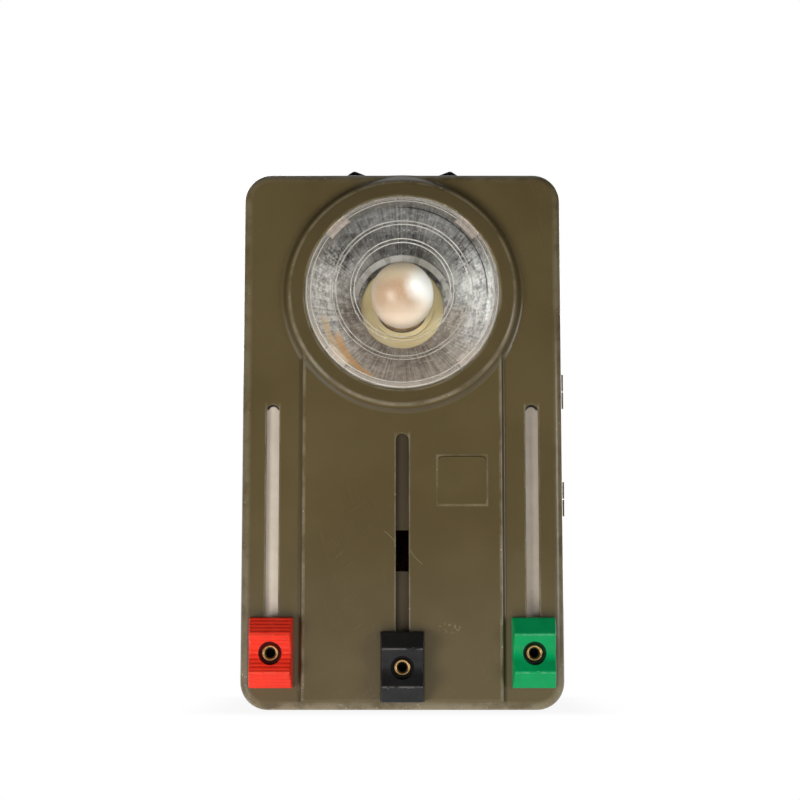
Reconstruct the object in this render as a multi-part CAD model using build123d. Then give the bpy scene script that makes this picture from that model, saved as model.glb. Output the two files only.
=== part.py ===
from build123d import *
import math
import os

# A pocket signal lamp standing upright. X runs to the viewer's right, Y away from the
# viewer and Z up; the origin is the middle of the underside of the case. All sizes are
# in millimetres. Depths are counted to the rear from the lowest outer level of the front.

# Case of pressed sheet
CASE_WIDTH = 70.0
CASE_HEIGHT = 117.5
CASE_DEPTH = 31.0
COVER_DEPTH = 7.7
CORNER_RADIUS = 6.0
SHEET = 0.8
FRONT_EDGE_RADIUS = 2.0
REAR_EDGE_RADIUS = 2.5
SPLIT_GAP = 0.3
NOTCH_RADIUS = 7.0
NOTCH_DEPTH = 1.4

# Fits
RUN_GAP = 0.3
JOIN_GAP = 0.05
PIN_FIT = 0.05

# Relief pressed into the front
PANEL_MARGIN = 13.3
PANEL_RISE = 0.7
PANEL_BOTTOM = 2.2
RING_MARGIN = 3.7
RING_RISE = 2.2
RELIEF_SLOPE = 60.0
RELIEF_ROUND = 0.6
RING_ROUND = 1.3
PAD_SIZE = 11.0
PAD_RISE = 0.35
PAD_X = 13.0
PAD_BELOW_LENS = 19.9

# Lens and what holds it
LENS_RADIUS = 21.2
LENS_TOP_MARGIN = 5.8
LENS_FIT = 0.15
LENS_STAND = 1.6
LENS_CURVE = 60.0
LENS_STEP = 0.5
LENS_STEP_SHARES = (0.533, 0.726)
LENS_FLANGE = 0.65
LENS_GRIP = 2.6
LENS_RIM = 1.2
GASKET_THICKNESS = 0.4
RETAINER_THICKNESS = 0.35

# Sliding shutter and filters
SLOT_WIDTH = 2.8
SIDE_SLOT_MARGIN = 6.75
SIDE_SLOT_DROP = 3.3
MIDDLE_SLOT_DROP = 9.7
SIDE_KNOB_HEIGHT = 12.4
MIDDLE_KNOB_HEIGHT = 9.4
PLATE_THICKNESS = 0.5
SHUTTER_MARGIN = 0.7
SHUTTER_LAP = 1.2
WINDOW_WIDTH = 16.0
WINDOW_LENGTH = 8.9
WINDOW_ABOVE_KNOB = 24.75
CARRIER_WIDTH = 9.3
CARRIER_BELOW_KNOB = 6.5
CARRIER_LAP = 0.6
FILTER_LAP = 1.5
FILTER_OVERHANG = 0.9

# Knobs and their eyelets
KNOB_WIDTH = 9.5
KNOB_LENGTH = 15.0
KNOB_RISE = 4.8
KNOB_END = 1.5
KNOB_RIDGE = 4.0
KNOB_VALLEY = 2.7
KNOB_DRAFT = 4.0
COUNTERBORE_RADIUS = 2.5
EYELET_RADIUS = 1.1
EYELET_BORE = 0.75
EYELET_RIM = 1.85
EYELET_SHEET = 0.35
TONGUE_WIDTH = 2.4
TONGUE_LENGTH = 3.6

# Reflector, socket and bulb
TRAY_DEPTH = 3.3
TRAY_SETBACK = 0.4
REFLECTOR_MARGIN = 0.4
REFLECTOR_NECK = 8.0
REFLECTOR_COLLAR = 1.4
REFLECTOR_RIM = 2.6
BULB_FRONT = 3.3
BULB_ROOM = 1.9
BULB_SHARE = 0.26
BULB_NECK = 4.2
GLASS = 0.5
FILAMENT_SETBACK = 0.8
BASE_RADIUS = 4.75
BASE_SHARE = 0.354
SLEEVE_RADIUS = 5.3
SOCKET_LIP = 6.0
SOCKET_TUBE = 7.2
SOCKET_FLANGE = 10.5
SOCKET_FLANGE_DEPTH = 1.6

# Contact board and battery
BOARD_GAP = 2.4
BOARD_TO_TIP = 4.2
BOARD_THICKNESS = 1.5
BOARD_MARGIN = 6.0
BOARD_TOP_MARGIN = 5.5
BOARD_BELOW_SOCKET = 12.3
POST_RADIUS = 1.8
POST_INSET = 3.0
SCREW_RADIUS = 1.2
SCREW_LENGTH = 5.0
LEAF_THICKNESS = 0.4
LEAF_WIDTH = 6.0
RIVET_RADIUS = 1.0
BULB_RIVET_UP = 6.5
SWITCH_RIVET_UP = 12.0
SWITCH_RIVET_DOWN = 8.0
BATTERY_MARGIN = 4.0
BATTERY_PLAY = 0.7
BATTERY_HEADROOM = 3.3
BATTERY_FLOOR = 2.7
BATTERY_CORNER = 3.0
STRIP_THICKNESS = 0.3
STRIP_WIDTH = 7.0
PLUS_RISE = 4.0
MINUS_RISE = 9.0
MINUS_INSET = 9.5

# Switch on the top
SWITCH_SETBACK = 0.7
SWITCH_LENGTH = 26.0
SWITCH_BREADTH = 8.0
SWITCH_HORN = 3.2
SWITCH_SADDLE = 1.9
SWITCH_HORN_RUN = 5.3
SWITCH_PRESS = 0.8
SWITCH_TRAVEL = 4.0
STEM_LENGTH = 4.0
STEM_BREADTH = 3.0
CARRIAGE_THICKNESS = 1.2
CARRIAGE_BREADTH = 7.0
CARRIAGE_LEFT = 8.0
CARRIAGE_RIGHT = 9.4
SPRING_SHEET = 0.25

# Rear cover, hinges and hanging tab
HINGE_SPACING = 25.0
KNUCKLE_LENGTH = 3.8
KNUCKLE_RADIUS = 1.15
PIN_RADIUS = 0.6
LEAF_PLATE = 0.6
LEAF_REACH = 5.0
LIP_SHEET = 0.7
LIP_REACH = 2.2
LIP_HOLD = 4.0
COVER_PANEL_MARGIN = 7.0
COVER_PANEL_RISE = 0.6
BOARD_PAPER = 0.6
PAD_FELT = 2.4
TAB_WIDTH = 24.0
TAB_LENGTH = 68.0
TAB_TOP_MARGIN = 11.5
TAB_THICKNESS = 2.0
TAB_HOLE_LENGTH = 13.0
TAB_HOLE_WIDTH = 3.0
TAB_HOLE_UP = 8.0
TAB_RIVET_X = 7.0
TAB_RIVET_DOWN = 5.0
TAB_RIVET_HEAD = 2.8

# Values that follow from the ones above
FRONT = -CASE_DEPTH / 2
SHELL_DEPTH = CASE_DEPTH - COVER_DEPTH - SPLIT_GAP
LENS_HEIGHT = CASE_HEIGHT - LENS_RADIUS - LENS_TOP_MARGIN
LENS_FOOT = LENS_HEIGHT - LENS_RADIUS
PANEL_WIDTH = CASE_WIDTH - 2 * PANEL_MARGIN
RING_RADIUS = LENS_RADIUS + RING_MARGIN
SIDE_SLOT_X = CASE_WIDTH / 2 - SIDE_SLOT_MARGIN
SIDE_SLOT_TOP = LENS_FOOT - SIDE_SLOT_DROP
MIDDLE_SLOT_TOP = LENS_FOOT - MIDDLE_SLOT_DROP
SLOPE = math.radians(RELIEF_SLOPE)
INNER_TOP = CASE_HEIGHT - SHEET
RING_TOP = -RING_RISE
PANEL_TOP = -PANEL_RISE
RING_INSIDE = RING_TOP + SHEET
RING_SPREAD = (RING_RISE - PANEL_RISE) / math.tan(SLOPE)
RING_FOOT_RADIUS = RING_RADIUS + RING_SPREAD + RING_ROUND * math.tan(SLOPE / 2)
MIDDLE_STOP = LENS_HEIGHT - RING_FOOT_RADIUS - KNOB_LENGTH / 2
SIDE_TRAVEL = INNER_TOP - 2 * RUN_GAP - SIDE_SLOT_TOP - CARRIER_LAP
MIDDLE_TRAVEL = MIDDLE_STOP - MIDDLE_KNOB_HEIGHT
SHUTTER_NEAR = PANEL_TOP + SHEET + RUN_GAP - JOIN_GAP
RED_NEAR = SHEET + RUN_GAP + 2 * JOIN_GAP
GREEN_NEAR = RED_NEAR + PLATE_THICKNESS + RUN_GAP
TRAY_FAR = TRAY_DEPTH + PLATE_THICKNESS
COVER_INSIDE = CASE_DEPTH - SHEET
LINING_NEAR = COVER_INSIDE - JOIN_GAP - BOARD_PAPER
PAD_NEAR = LINING_NEAR - JOIN_GAP - PAD_FELT
BULB_TIP = LINING_NEAR - BULB_ROOM
BULB_RADIUS = BULB_SHARE * (BULB_TIP - BULB_FRONT)
BASE_LENGTH = BASE_SHARE * (BULB_TIP - BULB_FRONT)
BOARD_FAR = BULB_TIP - BOARD_TO_TIP
BOARD_DEPTH = BOARD_FAR - BOARD_THICKNESS
BOARD_WIDTH = CASE_WIDTH - 2 * BOARD_MARGIN
BOARD_TOP = CASE_HEIGHT - BOARD_TOP_MARGIN
BOARD_BOTTOM = LENS_HEIGHT - SOCKET_TUBE - BOARD_BELOW_SOCKET
POST_X = BOARD_WIDTH / 2 - POST_INSET - JOIN_GAP
MINUS_X = POST_X - MINUS_INSET
SOCKET_NEAR = BOARD_DEPTH - BOARD_GAP - SOCKET_FLANGE_DEPTH
NECK_DEPTH = SOCKET_NEAR - PLATE_THICKNESS - 2 * JOIN_GAP
REFLECTOR_RADIUS = LENS_RADIUS - REFLECTOR_MARGIN
BOWL_DEPTH = NECK_DEPTH - REFLECTOR_COLLAR
REFLECTOR_FOCUS = (REFLECTOR_RADIUS**2 - REFLECTOR_NECK**2) / (4 * (BOWL_DEPTH - TRAY_FAR))
VERTEX = TRAY_FAR + REFLECTOR_RADIUS**2 / (4 * REFLECTOR_FOCUS)
BATTERY_NEAR = TRAY_FAR + PLATE_THICKNESS + 2 * JOIN_GAP
BATTERY_DEPTH = PAD_NEAR - BATTERY_PLAY - BATTERY_NEAR
BATTERY_WIDTH = CASE_WIDTH - 2 * BATTERY_MARGIN
BATTERY_TOP = BOARD_BOTTOM - BATTERY_HEADROOM
BATTERY_HEIGHT = BATTERY_TOP - BATTERY_FLOOR
HINGE_X = CASE_WIDTH / 2 + RUN_GAP + KNUCKLE_RADIUS
HINGE_DEPTH = SHELL_DEPTH + SPLIT_GAP / 2
TAB_NEAR = CASE_DEPTH + COVER_PANEL_RISE
TAB_TOP = CASE_HEIGHT - TAB_TOP_MARGIN
RAIL_REACH = CARRIAGE_BREADTH / 2 + RUN_GAP + PLATE_THICKNESS
SWITCH_DEPTH = SHELL_DEPTH - LIP_HOLD - RAIL_REACH - SWITCH_SETBACK
TRAY_FLANGE = SWITCH_DEPTH - RAIL_REACH - TRAY_SETBACK
CARRIAGE_TOP = INNER_TOP - RUN_GAP
CARRIAGE_BOTTOM = CARRIAGE_TOP - CARRIAGE_THICKNESS
STUD_TOP = CARRIAGE_BOTTOM - RUN_GAP
STUD_BOTTOM = STUD_TOP - PLATE_THICKNESS
SWITCH_LEAF_TOP = STUD_BOTTOM - SWITCH_PRESS - 0.2
SWITCH_UNDER = CASE_HEIGHT + SWITCH_PRESS + RUN_GAP


def slab(profile, near, far, taper=0.0):
    """Solid of a profile drawn in X and Z, between two depths; a taper narrows it to the front."""
    plane = Plane(origin=(0, FRONT + far, 0), x_dir=(1, 0, 0), z_dir=(0, -1, 0))
    return extrude(plane * profile, amount=far - near, taper=taper)


def turned(corners, radii=0, x=0.0, z=LENS_HEIGHT):
    """Solid turned about an axis along Y, from corners given as (radius, depth)."""
    outline = FilletPolyline(*corners, radius=radii, close=True)
    face = Plane((x, FRONT, z)) * make_face(outline)
    return revolve(face, axis=Axis((x, FRONT, z), (0, 1, 0)))


def rod(radius, near, far, x=0.0, z=LENS_HEIGHT):
    """Round bar along Y between two depths."""
    return slab(Pos(x, z) * Circle(radius), near, far)


def strip(path, thickness, width, x):
    """Bent strip: a path of (depth, height) points with a thickness, and a width along X."""
    points = [(FRONT + depth, height) for depth, height in path]
    ribbon = trace(Polyline(*points), line_width=thickness)
    return extrude(Plane((x, 0, 0), x_dir=(0, 1, 0), z_dir=(1, 0, 0)) * ribbon, width / 2, both=True)


def block(x0, x1, near, far, z0, z1):
    """Square block given by its six sides."""
    return slab(Pos((x0 + x1) / 2, (z0 + z1) / 2) * Rectangle(x1 - x0, z1 - z0), near, far)


def case_outline(inset):
    """Outline of the case seen from the front, drawn in by an inset."""
    width = CASE_WIDTH - 2 * inset
    height = CASE_HEIGHT - 2 * inset
    return Pos(0, CASE_HEIGHT / 2) * RectangleRounded(width, height, CORNER_RADIUS - inset)


def upright_slot(x, bottom, top, width):
    """Outline of an upright slot with round ends."""
    return Pos(x, (bottom + top) / 2) * SlotOverall(top - bottom, width, rotation=90)


# Front shell

def raised_ring(inset, foot, back, flat):
    """Raised ring round the lens; a flat foot leaves a rounded corner where it meets a level."""
    top = RING_TOP + inset
    radius = RING_RADIUS - inset * math.tan(SLOPE / 2)
    reach = radius + (foot - top) / math.tan(SLOPE)
    corners = [(0, back), (0, top), (radius, top), (reach, foot)]
    radii = [0, 0, RING_ROUND - inset, 0]
    if flat:
        corners += [(reach + flat, foot), (reach + flat, back)]
        radii = [0, 0, RING_ROUND - inset, RING_ROUND, 0, 0]
    return turned(corners, radii)


def raised_panel(inset):
    """Raised middle panel with sloping sides, running up into the ring."""
    top = PANEL_TOP + inset
    run = (FRONT_EDGE_RADIUS - top) / math.tan(SLOPE)
    half = PANEL_WIDTH / 2 - inset * math.tan(SLOPE / 2)
    bottom = PANEL_BOTTOM + inset * math.tan(SLOPE / 2) - run
    height = LENS_HEIGHT + run - bottom
    foot = Pos(0, bottom + height / 2) * Rectangle(2 * (half + run), height)
    panel = slab(foot, top, FRONT_EDGE_RADIUS, taper=90 - RELIEF_SLOPE)
    return fillet(panel.edges().group_by(Axis.Y)[0], RELIEF_ROUND)


def panel_feet():
    """The panel again, with rounded corners along its two feet."""
    half = PANEL_WIDTH / 2
    run = PANEL_RISE / math.tan(SLOPE)
    side = half + run + RELIEF_ROUND
    corners = [
        (-side, FRONT_EDGE_RADIUS), (-side, 0), (-half - run, 0), (-half, PANEL_TOP),
        (half, PANEL_TOP), (half + run, 0), (side, 0), (side, FRONT_EDGE_RADIUS),
    ]
    radii = [0, 0, RELIEF_ROUND, RELIEF_ROUND, RELIEF_ROUND, RELIEF_ROUND, 0, 0]
    section = make_face(FilletPolyline(*corners, radius=radii, close=True))
    start = PANEL_BOTTOM + FRONT_EDGE_RADIUS
    return extrude(Plane((0, FRONT, start)) * section, amount=LENS_HEIGHT - start)


def pressed_front(inset, rear):
    """Outside of the front shell, or its inside when an inset is given."""
    body = slab(case_outline(inset), inset, rear)
    body = fillet(body.edges().group_by(Axis.Y)[0], FRONT_EDGE_RADIUS - inset)
    limit = slab(case_outline(inset), RING_TOP - 1, FRONT_EDGE_RADIUS)
    body += limit & raised_panel(inset)
    return body + (limit & raised_ring(inset, FRONT_EDGE_RADIUS, FRONT_EDGE_RADIUS, 0))


def soft_feet():
    """Rounded corners where the ring and the panel rise from the level below."""
    flat_zone = slab(case_outline(FRONT_EDGE_RADIUS), RING_TOP - 1, FRONT_EDGE_RADIUS)
    ring_foot = raised_ring(0, 0, FRONT_EDGE_RADIUS, RING_ROUND) & flat_zone
    above_panel = PANEL_WIDTH / 2 - RELIEF_ROUND
    on_panel = block(-above_panel, above_panel, RING_TOP - 1, FRONT_EDGE_RADIUS, 0, LENS_HEIGHT)
    panel_foot = raised_ring(0, PANEL_TOP, FRONT_EDGE_RADIUS, RING_ROUND) & on_panel
    return ring_foot, panel_foot, panel_feet()


def slot_list():
    """Places of the three slots: x, bottom end, top end and the level they are cut in."""
    side_bottom = SIDE_KNOB_HEIGHT - TONGUE_LENGTH - EYELET_RADIUS - 3 * RUN_GAP
    middle_bottom = MIDDLE_KNOB_HEIGHT - TONGUE_LENGTH - EYELET_RADIUS - 3 * RUN_GAP
    return [
        (-SIDE_SLOT_X, side_bottom, SIDE_SLOT_TOP, 0.0),
        (SIDE_SLOT_X, side_bottom, SIDE_SLOT_TOP, 0.0),
        (0.0, middle_bottom, MIDDLE_SLOT_TOP, PANEL_TOP),
    ]


def rim_edges(solid, level, x, half_width):
    """Edges lying at one depth within a band round x."""
    found = []
    for edge in solid.edges():
        box = edge.bounding_box()
        at_level = abs(box.min.Y - FRONT - level) < 0.001 and abs(box.max.Y - FRONT - level) < 0.001
        if at_level and box.min.X > x - half_width and box.max.X < x + half_width:
            found.append(edge)
    return found


def make_front_shell():
    shell = pressed_front(0, SHELL_DEPTH)
    for foot in soft_feet():
        shell += foot
    pad = Pos(PAD_X, LENS_FOOT - PAD_BELOW_LENS) * RectangleRounded(PAD_SIZE, PAD_SIZE, PAD_SIZE / 8)
    shell += slab(pad, PANEL_TOP - PAD_RISE, PANEL_TOP + PAD_RISE, taper=30)
    shell -= pressed_front(SHEET, SHELL_DEPTH + 1)
    shell -= rod(LENS_RADIUS + LENS_FIT, RING_TOP - 1, SHEET)
    for x, bottom, top, level in slot_list():
        shell -= slab(upright_slot(x, bottom, top, SLOT_WIDTH), level - 1, level + 2 * SHEET)
    rims = rim_edges(shell, RING_TOP, 0, LENS_RADIUS + 2 * LENS_FIT)
    for x, bottom, top, level in slot_list():
        rims += rim_edges(shell, level, x, SLOT_WIDTH)
    shell = fillet(rims, SHEET / 3)
    slot_half = STEM_LENGTH / 2 + RUN_GAP
    slot_breadth = STEM_BREADTH / 2 + RUN_GAP
    shell -= block(
        -slot_half, slot_half + SWITCH_TRAVEL,
        SWITCH_DEPTH - slot_breadth, SWITCH_DEPTH + slot_breadth,
        INNER_TOP - 1, CASE_HEIGHT + 1,
    )
    notch_middle = FRONT + SHELL_DEPTH + NOTCH_RADIUS - NOTCH_DEPTH
    notch = Cylinder(NOTCH_RADIUS, 4 * SHEET, rotation=(0, 90, 0))
    return shell - Pos(-CASE_WIDTH / 2, notch_middle, CASE_HEIGHT / 2) * notch


def make_lip_frame():
    """Band welded inside the shell that the rear cover closes over."""
    fixed_inset = SHEET + JOIN_GAP
    free_inset = SHEET + RUN_GAP
    fixed = case_outline(fixed_inset) - case_outline(fixed_inset + LIP_SHEET)
    free = case_outline(free_inset) - case_outline(free_inset + LIP_SHEET)
    band = slab(fixed, SHELL_DEPTH - LIP_HOLD, SHELL_DEPTH - SPLIT_GAP)
    return band + slab(free, SHELL_DEPTH - 1, SHELL_DEPTH + LIP_REACH)


# Lens, gasket and retaining ring

def zone_depth(radius, apex):
    """Depth of the stepped lens surface at a radius, before its steps."""
    return apex + LENS_CURVE - math.sqrt(LENS_CURVE**2 - radius**2)


def make_lens():
    flange_near = RING_INSIDE + GASKET_THICKNESS
    back = flange_near + LENS_FLANGE
    rim = LENS_RADIUS - LENS_RIM
    drop = zone_depth(rim, 0) - LENS_STEP * len(LENS_STEP_SHARES)
    apex = RING_TOP - LENS_STAND - drop
    arcs = []
    inner = 0.0
    shift = 0.0
    for outer in (*[share * LENS_RADIUS for share in LENS_STEP_SHARES], rim):
        middle = (inner + outer) / 2
        spots = [(r, zone_depth(r, apex) - shift) for r in (inner, middle, outer)]
        arcs.append(ThreePointArc(*spots))
        inner = outer
        shift += LENS_STEP
    lines = list(arcs)
    for before, after in zip(arcs, arcs[1:]):
        lines.append(Line(before @ 1, after @ 0))
    rest = [
        arcs[-1] @ 1, (LENS_RADIUS, RING_TOP - LENS_STAND + 0.8), (LENS_RADIUS, flange_near),
        (LENS_RADIUS + LENS_GRIP, flange_near), (LENS_RADIUS + LENS_GRIP, back), (0, back), arcs[0] @ 0,
    ]
    lines.append(Polyline(*rest))
    face = Plane((0, FRONT, LENS_HEIGHT)) * make_face(lines)
    return revolve(face, axis=Axis((0, FRONT, LENS_HEIGHT), (0, 1, 0)))


def make_lens_gasket():
    near = RING_INSIDE + JOIN_GAP
    far = RING_INSIDE + GASKET_THICKNESS - JOIN_GAP
    return rod(LENS_RADIUS + LENS_GRIP, near, far) - rod(LENS_RADIUS + 2 * LENS_FIT, near, far)


def make_lens_retainer():
    near = RING_INSIDE + GASKET_THICKNESS + LENS_FLANGE + JOIN_GAP
    far = near + RETAINER_THICKNESS
    outside = LENS_RADIUS + LENS_GRIP + LENS_FIT
    return rod(outside, near, far) - rod(LENS_RADIUS - LENS_RIM, near, far)


# Shutter, filters and their knobs

def make_knob(x, z, level, reach):
    """Slider knob with two ridges, a valley with a counterbore, and a tongue for the slot."""
    under = level - RUN_GAP
    half = KNOB_LENGTH / 2
    path = [
        (under, -half), (under - KNOB_END, -half), (under - KNOB_RISE, -KNOB_RIDGE),
        (under - KNOB_VALLEY, -KNOB_RIDGE / 4), (under - KNOB_VALLEY, KNOB_RIDGE / 4),
        (under - KNOB_RISE, KNOB_RIDGE), (under - KNOB_END, half), (under, half),
    ]
    points = [(FRONT + depth, z + height) for depth, height in path]
    radii = [0, 0.3, 0.45, 1.5, 1.5, 0.45, 0.3, 0]
    section = make_face(FilletPolyline(*points, radius=radii, close=True))
    side_view = Plane((x, 0, 0), x_dir=(0, 1, 0), z_dir=(1, 0, 0)) * section
    knob = extrude(side_view, KNOB_WIDTH, both=True)
    sides = Pos(x, z) * RectangleRounded(KNOB_WIDTH, KNOB_LENGTH + 2, 0.8)
    knob &= slab(sides, under - KNOB_RISE - 1, under, taper=KNOB_DRAFT)
    seat = under - KNOB_VALLEY / 2
    knob -= rod(COUNTERBORE_RADIUS, under - KNOB_RISE, seat, x, z)
    tongue_top = z - EYELET_RADIUS - RUN_GAP
    knob += block(
        x - TONGUE_WIDTH / 2, x + TONGUE_WIDTH / 2, under - 0.2, reach - JOIN_GAP,
        tongue_top - TONGUE_LENGTH, tongue_top,
    )
    return knob - rod(EYELET_RADIUS + JOIN_GAP, under - KNOB_RISE, under + 0.5, x, z)


def make_eyelet(x, z, level, plate_far):
    """Tubular brass eyelet that clinches a knob to its plate."""
    seat = level - RUN_GAP - KNOB_VALLEY / 2
    front = seat - 2 * EYELET_SHEET
    back = plate_far + EYELET_SHEET
    corners = [
        (EYELET_BORE, front + 3 * EYELET_SHEET), (EYELET_RIM - EYELET_SHEET, front),
        (EYELET_RIM, front + EYELET_SHEET / 2), (EYELET_RIM, seat - JOIN_GAP),
        (EYELET_RADIUS, seat - JOIN_GAP), (EYELET_RADIUS, plate_far + JOIN_GAP),
        (EYELET_RIM, plate_far + JOIN_GAP), (EYELET_RIM, back), (EYELET_BORE, back),
    ]
    return turned(corners, 0, x, z)


def eyelet_hole(x, z):
    return rod(EYELET_RADIUS + JOIN_GAP, -CASE_DEPTH / 2, CASE_DEPTH / 2, x, z)


def make_shutter_plate():
    """Plate with an arched top that goes up behind the lens inside the ring."""
    width = PANEL_WIDTH - 2 * SHUTTER_MARGIN
    arch = LENS_RADIUS + SHUTTER_LAP
    spring_line = LENS_HEIGHT - MIDDLE_TRAVEL
    bottom = MIDDLE_KNOB_HEIGHT - KNOB_RIDGE
    plate = Pos(0, (spring_line + bottom) / 2) * Rectangle(width, spring_line - bottom)
    plate = fillet([v for v in plate.vertices() if v.Y < spring_line - 1], 4 * PLATE_THICKNESS)
    plate += Pos(0, spring_line) * Circle(arch) & Pos(0, spring_line + arch / 2) * Rectangle(width, arch)
    plate -= Pos(0, MIDDLE_KNOB_HEIGHT + WINDOW_ABOVE_KNOB) * RectangleRounded(WINDOW_WIDTH, WINDOW_LENGTH, 1)
    solid = slab(plate, SHUTTER_NEAR, SHUTTER_NEAR + PLATE_THICKNESS)
    return solid - eyelet_hole(0, MIDDLE_KNOB_HEIGHT)


def carrier_edges():
    """Outer and inner distance of a carrier strip from the middle of the lamp."""
    outer = CASE_WIDTH / 2 - SHEET - 3 * RUN_GAP
    return outer, outer - CARRIER_WIDTH


def make_carrier(side, near):
    """Tinned strip behind a side slot that carries a filter; side is -1 or +1."""
    outer, inner = carrier_edges()
    bottom = SIDE_KNOB_HEIGHT - CARRIER_BELOW_KNOB
    top = SIDE_SLOT_TOP + CARRIER_LAP
    middle = side * (outer + inner) / 2
    outline = Pos(middle, (bottom + top) / 2) * Rectangle(CARRIER_WIDTH, top - bottom)
    corner = [v for v in outline.vertices() if v.Y > top - 0.1 and abs(v.X) > outer - 0.1]
    outline = fillet(corner, CORNER_RADIUS - SHEET)
    solid = slab(outline, near, near + PLATE_THICKNESS)
    return solid - eyelet_hole(side * SIDE_SLOT_X, SIDE_KNOB_HEIGHT)


def make_filter(side, near):
    """Coloured sheet glued behind the inner edge of its carrier."""
    inner = carrier_edges()[1]
    held = side * (inner + FILTER_LAP)
    free = -side * (inner - FILTER_LAP)
    top = LENS_HEIGHT + LENS_RADIUS + FILTER_OVERHANG - SIDE_TRAVEL
    bottom = LENS_FOOT - FILTER_OVERHANG - SIDE_TRAVEL
    outline = Pos((held + free) / 2, (top + bottom) / 2) * RectangleRounded(abs(held - free), top - bottom, 2)
    return slab(outline, near + JOIN_GAP, near + PLATE_THICKNESS)


# Tray, reflector, socket and bulb

def make_filter_tray():
    """Tinned plate behind the filters, with side flanges welded to the walls."""
    inset = SHEET + JOIN_GAP
    tray = slab(case_outline(inset), TRAY_DEPTH, TRAY_FLANGE)
    tray -= slab(case_outline(inset + PLATE_THICKNESS), TRAY_FAR, TRAY_FLANGE)
    return tray - rod(REFLECTOR_RADIUS + PLATE_THICKNESS, TRAY_DEPTH, TRAY_FAR)


def bowl_curve(offset):
    """Points on the parabola of the reflector, moved outward by an offset."""
    spots = []
    steps = 8
    for step in range(steps + 1):
        radius = REFLECTOR_RADIUS + (REFLECTOR_NECK - REFLECTOR_RADIUS) * step / steps
        depth = VERTEX - radius**2 / (4 * REFLECTOR_FOCUS)
        lean = math.atan2(radius, 2 * REFLECTOR_FOCUS)
        spots.append((radius + offset * math.sin(lean), depth + offset * math.cos(lean)))
    return spots


def make_reflector():
    """Silvered bowl with a flat rim on the tray and a short neck down to the socket."""
    inside = bowl_curve(0)
    outside = bowl_curve(PLATE_THICKNESS)
    rim_far = TRAY_FAR + PLATE_THICKNESS
    body = make_face([
        Spline(*inside), Line(inside[-1], outside[-1]), Spline(*outside), Line(outside[0], inside[0]),
    ])
    axis = Axis((0, FRONT, LENS_HEIGHT), (0, 1, 0))
    bowl = revolve(Plane((0, FRONT, LENS_HEIGHT)) * body, axis=axis)
    rim = rod(REFLECTOR_RADIUS + REFLECTOR_RIM, TRAY_FAR + JOIN_GAP, rim_far)
    rim -= rod(REFLECTOR_RADIUS + PLATE_THICKNESS / 2, TRAY_FAR, rim_far)
    neck = rod(REFLECTOR_NECK + PLATE_THICKNESS, BOWL_DEPTH, NECK_DEPTH)
    neck -= rod(REFLECTOR_NECK, BOWL_DEPTH, NECK_DEPTH)
    return bowl + rim + neck


def sleeve_near():
    return NECK_DEPTH - 1.0


def make_lamp_socket():
    """Cream moulding that holds the sleeve; its front lip covers the end of the sleeve."""
    near = SOCKET_NEAR
    collar = REFLECTOR_NECK - 2 * JOIN_GAP
    bore = SLEEVE_RADIUS + JOIN_GAP
    lip_bore = BASE_RADIUS + RUN_GAP
    front = NECK_DEPTH - 1.5
    lip_end = sleeve_near() - JOIN_GAP
    corners = [
        (lip_bore, front), (SOCKET_LIP, front), (SOCKET_LIP, NECK_DEPTH - 0.5),
        (collar, NECK_DEPTH - 0.5), (collar, near), (SOCKET_FLANGE, near),
        (SOCKET_FLANGE, near + SOCKET_FLANGE_DEPTH), (SOCKET_TUBE, near + SOCKET_FLANGE_DEPTH),
        (SOCKET_TUBE, BULB_TIP - 2), (bore, BULB_TIP - 2), (bore, lip_end), (lip_bore, lip_end),
    ]
    return turned(corners)


def make_socket_sleeve():
    near = sleeve_near()
    far = BULB_TIP - 2.2
    inside = BASE_RADIUS + 4 * JOIN_GAP
    return rod(SLEEVE_RADIUS, near, far) - rod(inside, near, far)


def glass_shape(radius, neck, far):
    """Round bulb with a straight neck."""
    middle = BULB_FRONT + BULB_RADIUS
    ball = Pos(0, FRONT + middle, LENS_HEIGHT) * Sphere(radius)
    return ball + rod(neck, middle, far)


def bulb_neck_end():
    return BULB_TIP - 3.0 - BASE_LENGTH + 2.0


def make_bulb_glass():
    far = bulb_neck_end()
    return glass_shape(BULB_RADIUS, BULB_NECK, far) - glass_shape(BULB_RADIUS - GLASS, BULB_NECK - GLASS, far)


def make_bulb_stem():
    """Glass plug in the neck that carries the two wires."""
    far = bulb_neck_end()
    plug = rod(BULB_NECK - GLASS - JOIN_GAP, far - 1.8, far)
    for x in (-1.5, 1.5):
        plug -= rod(0.2 + JOIN_GAP, far - 1.8, far, x)
    return plug


def make_bulb_filament():
    """Two support wires with the filament between them, just behind the middle of the bulb."""
    front = BULB_FRONT + BULB_RADIUS + FILAMENT_SETBACK
    wires = rod(0.2, front, bulb_neck_end(), -1.5) + rod(0.2, front, bulb_neck_end(), 1.5)
    thread = Pos(0, FRONT + front + 0.15, LENS_HEIGHT) * Cylinder(0.12, 3.0, rotation=(0, 90, 0))
    return wires + thread


def make_bulb_base():
    far = BULB_TIP - 3.0
    near = far - BASE_LENGTH
    inside = BULB_NECK + JOIN_GAP
    corners = [
        (inside, near), (BASE_RADIUS, near), (BASE_RADIUS, far - 1.0), (BASE_RADIUS - 1.2, far),
        (BASE_RADIUS - 1.7, far), (BASE_RADIUS - 1.7, far - 0.4), (inside, far - 1.6),
    ]
    return turned(corners)


def make_bulb_insulator():
    near = BULB_TIP - 3.0 + JOIN_GAP
    corners = [(0, near), (BASE_RADIUS - 1.2, near), (BASE_RADIUS - 2.2, near + 1.4), (0, near + 1.4)]
    return turned(corners)


def make_bulb_tip():
    near = BULB_TIP - 1.5
    corners = [(0, near), (2.0, near), (1.6, BULB_TIP - 0.4), (0.8, BULB_TIP), (0, BULB_TIP)]
    return turned(corners)


# Contact board with its posts, screws, leaves and rivets

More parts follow.
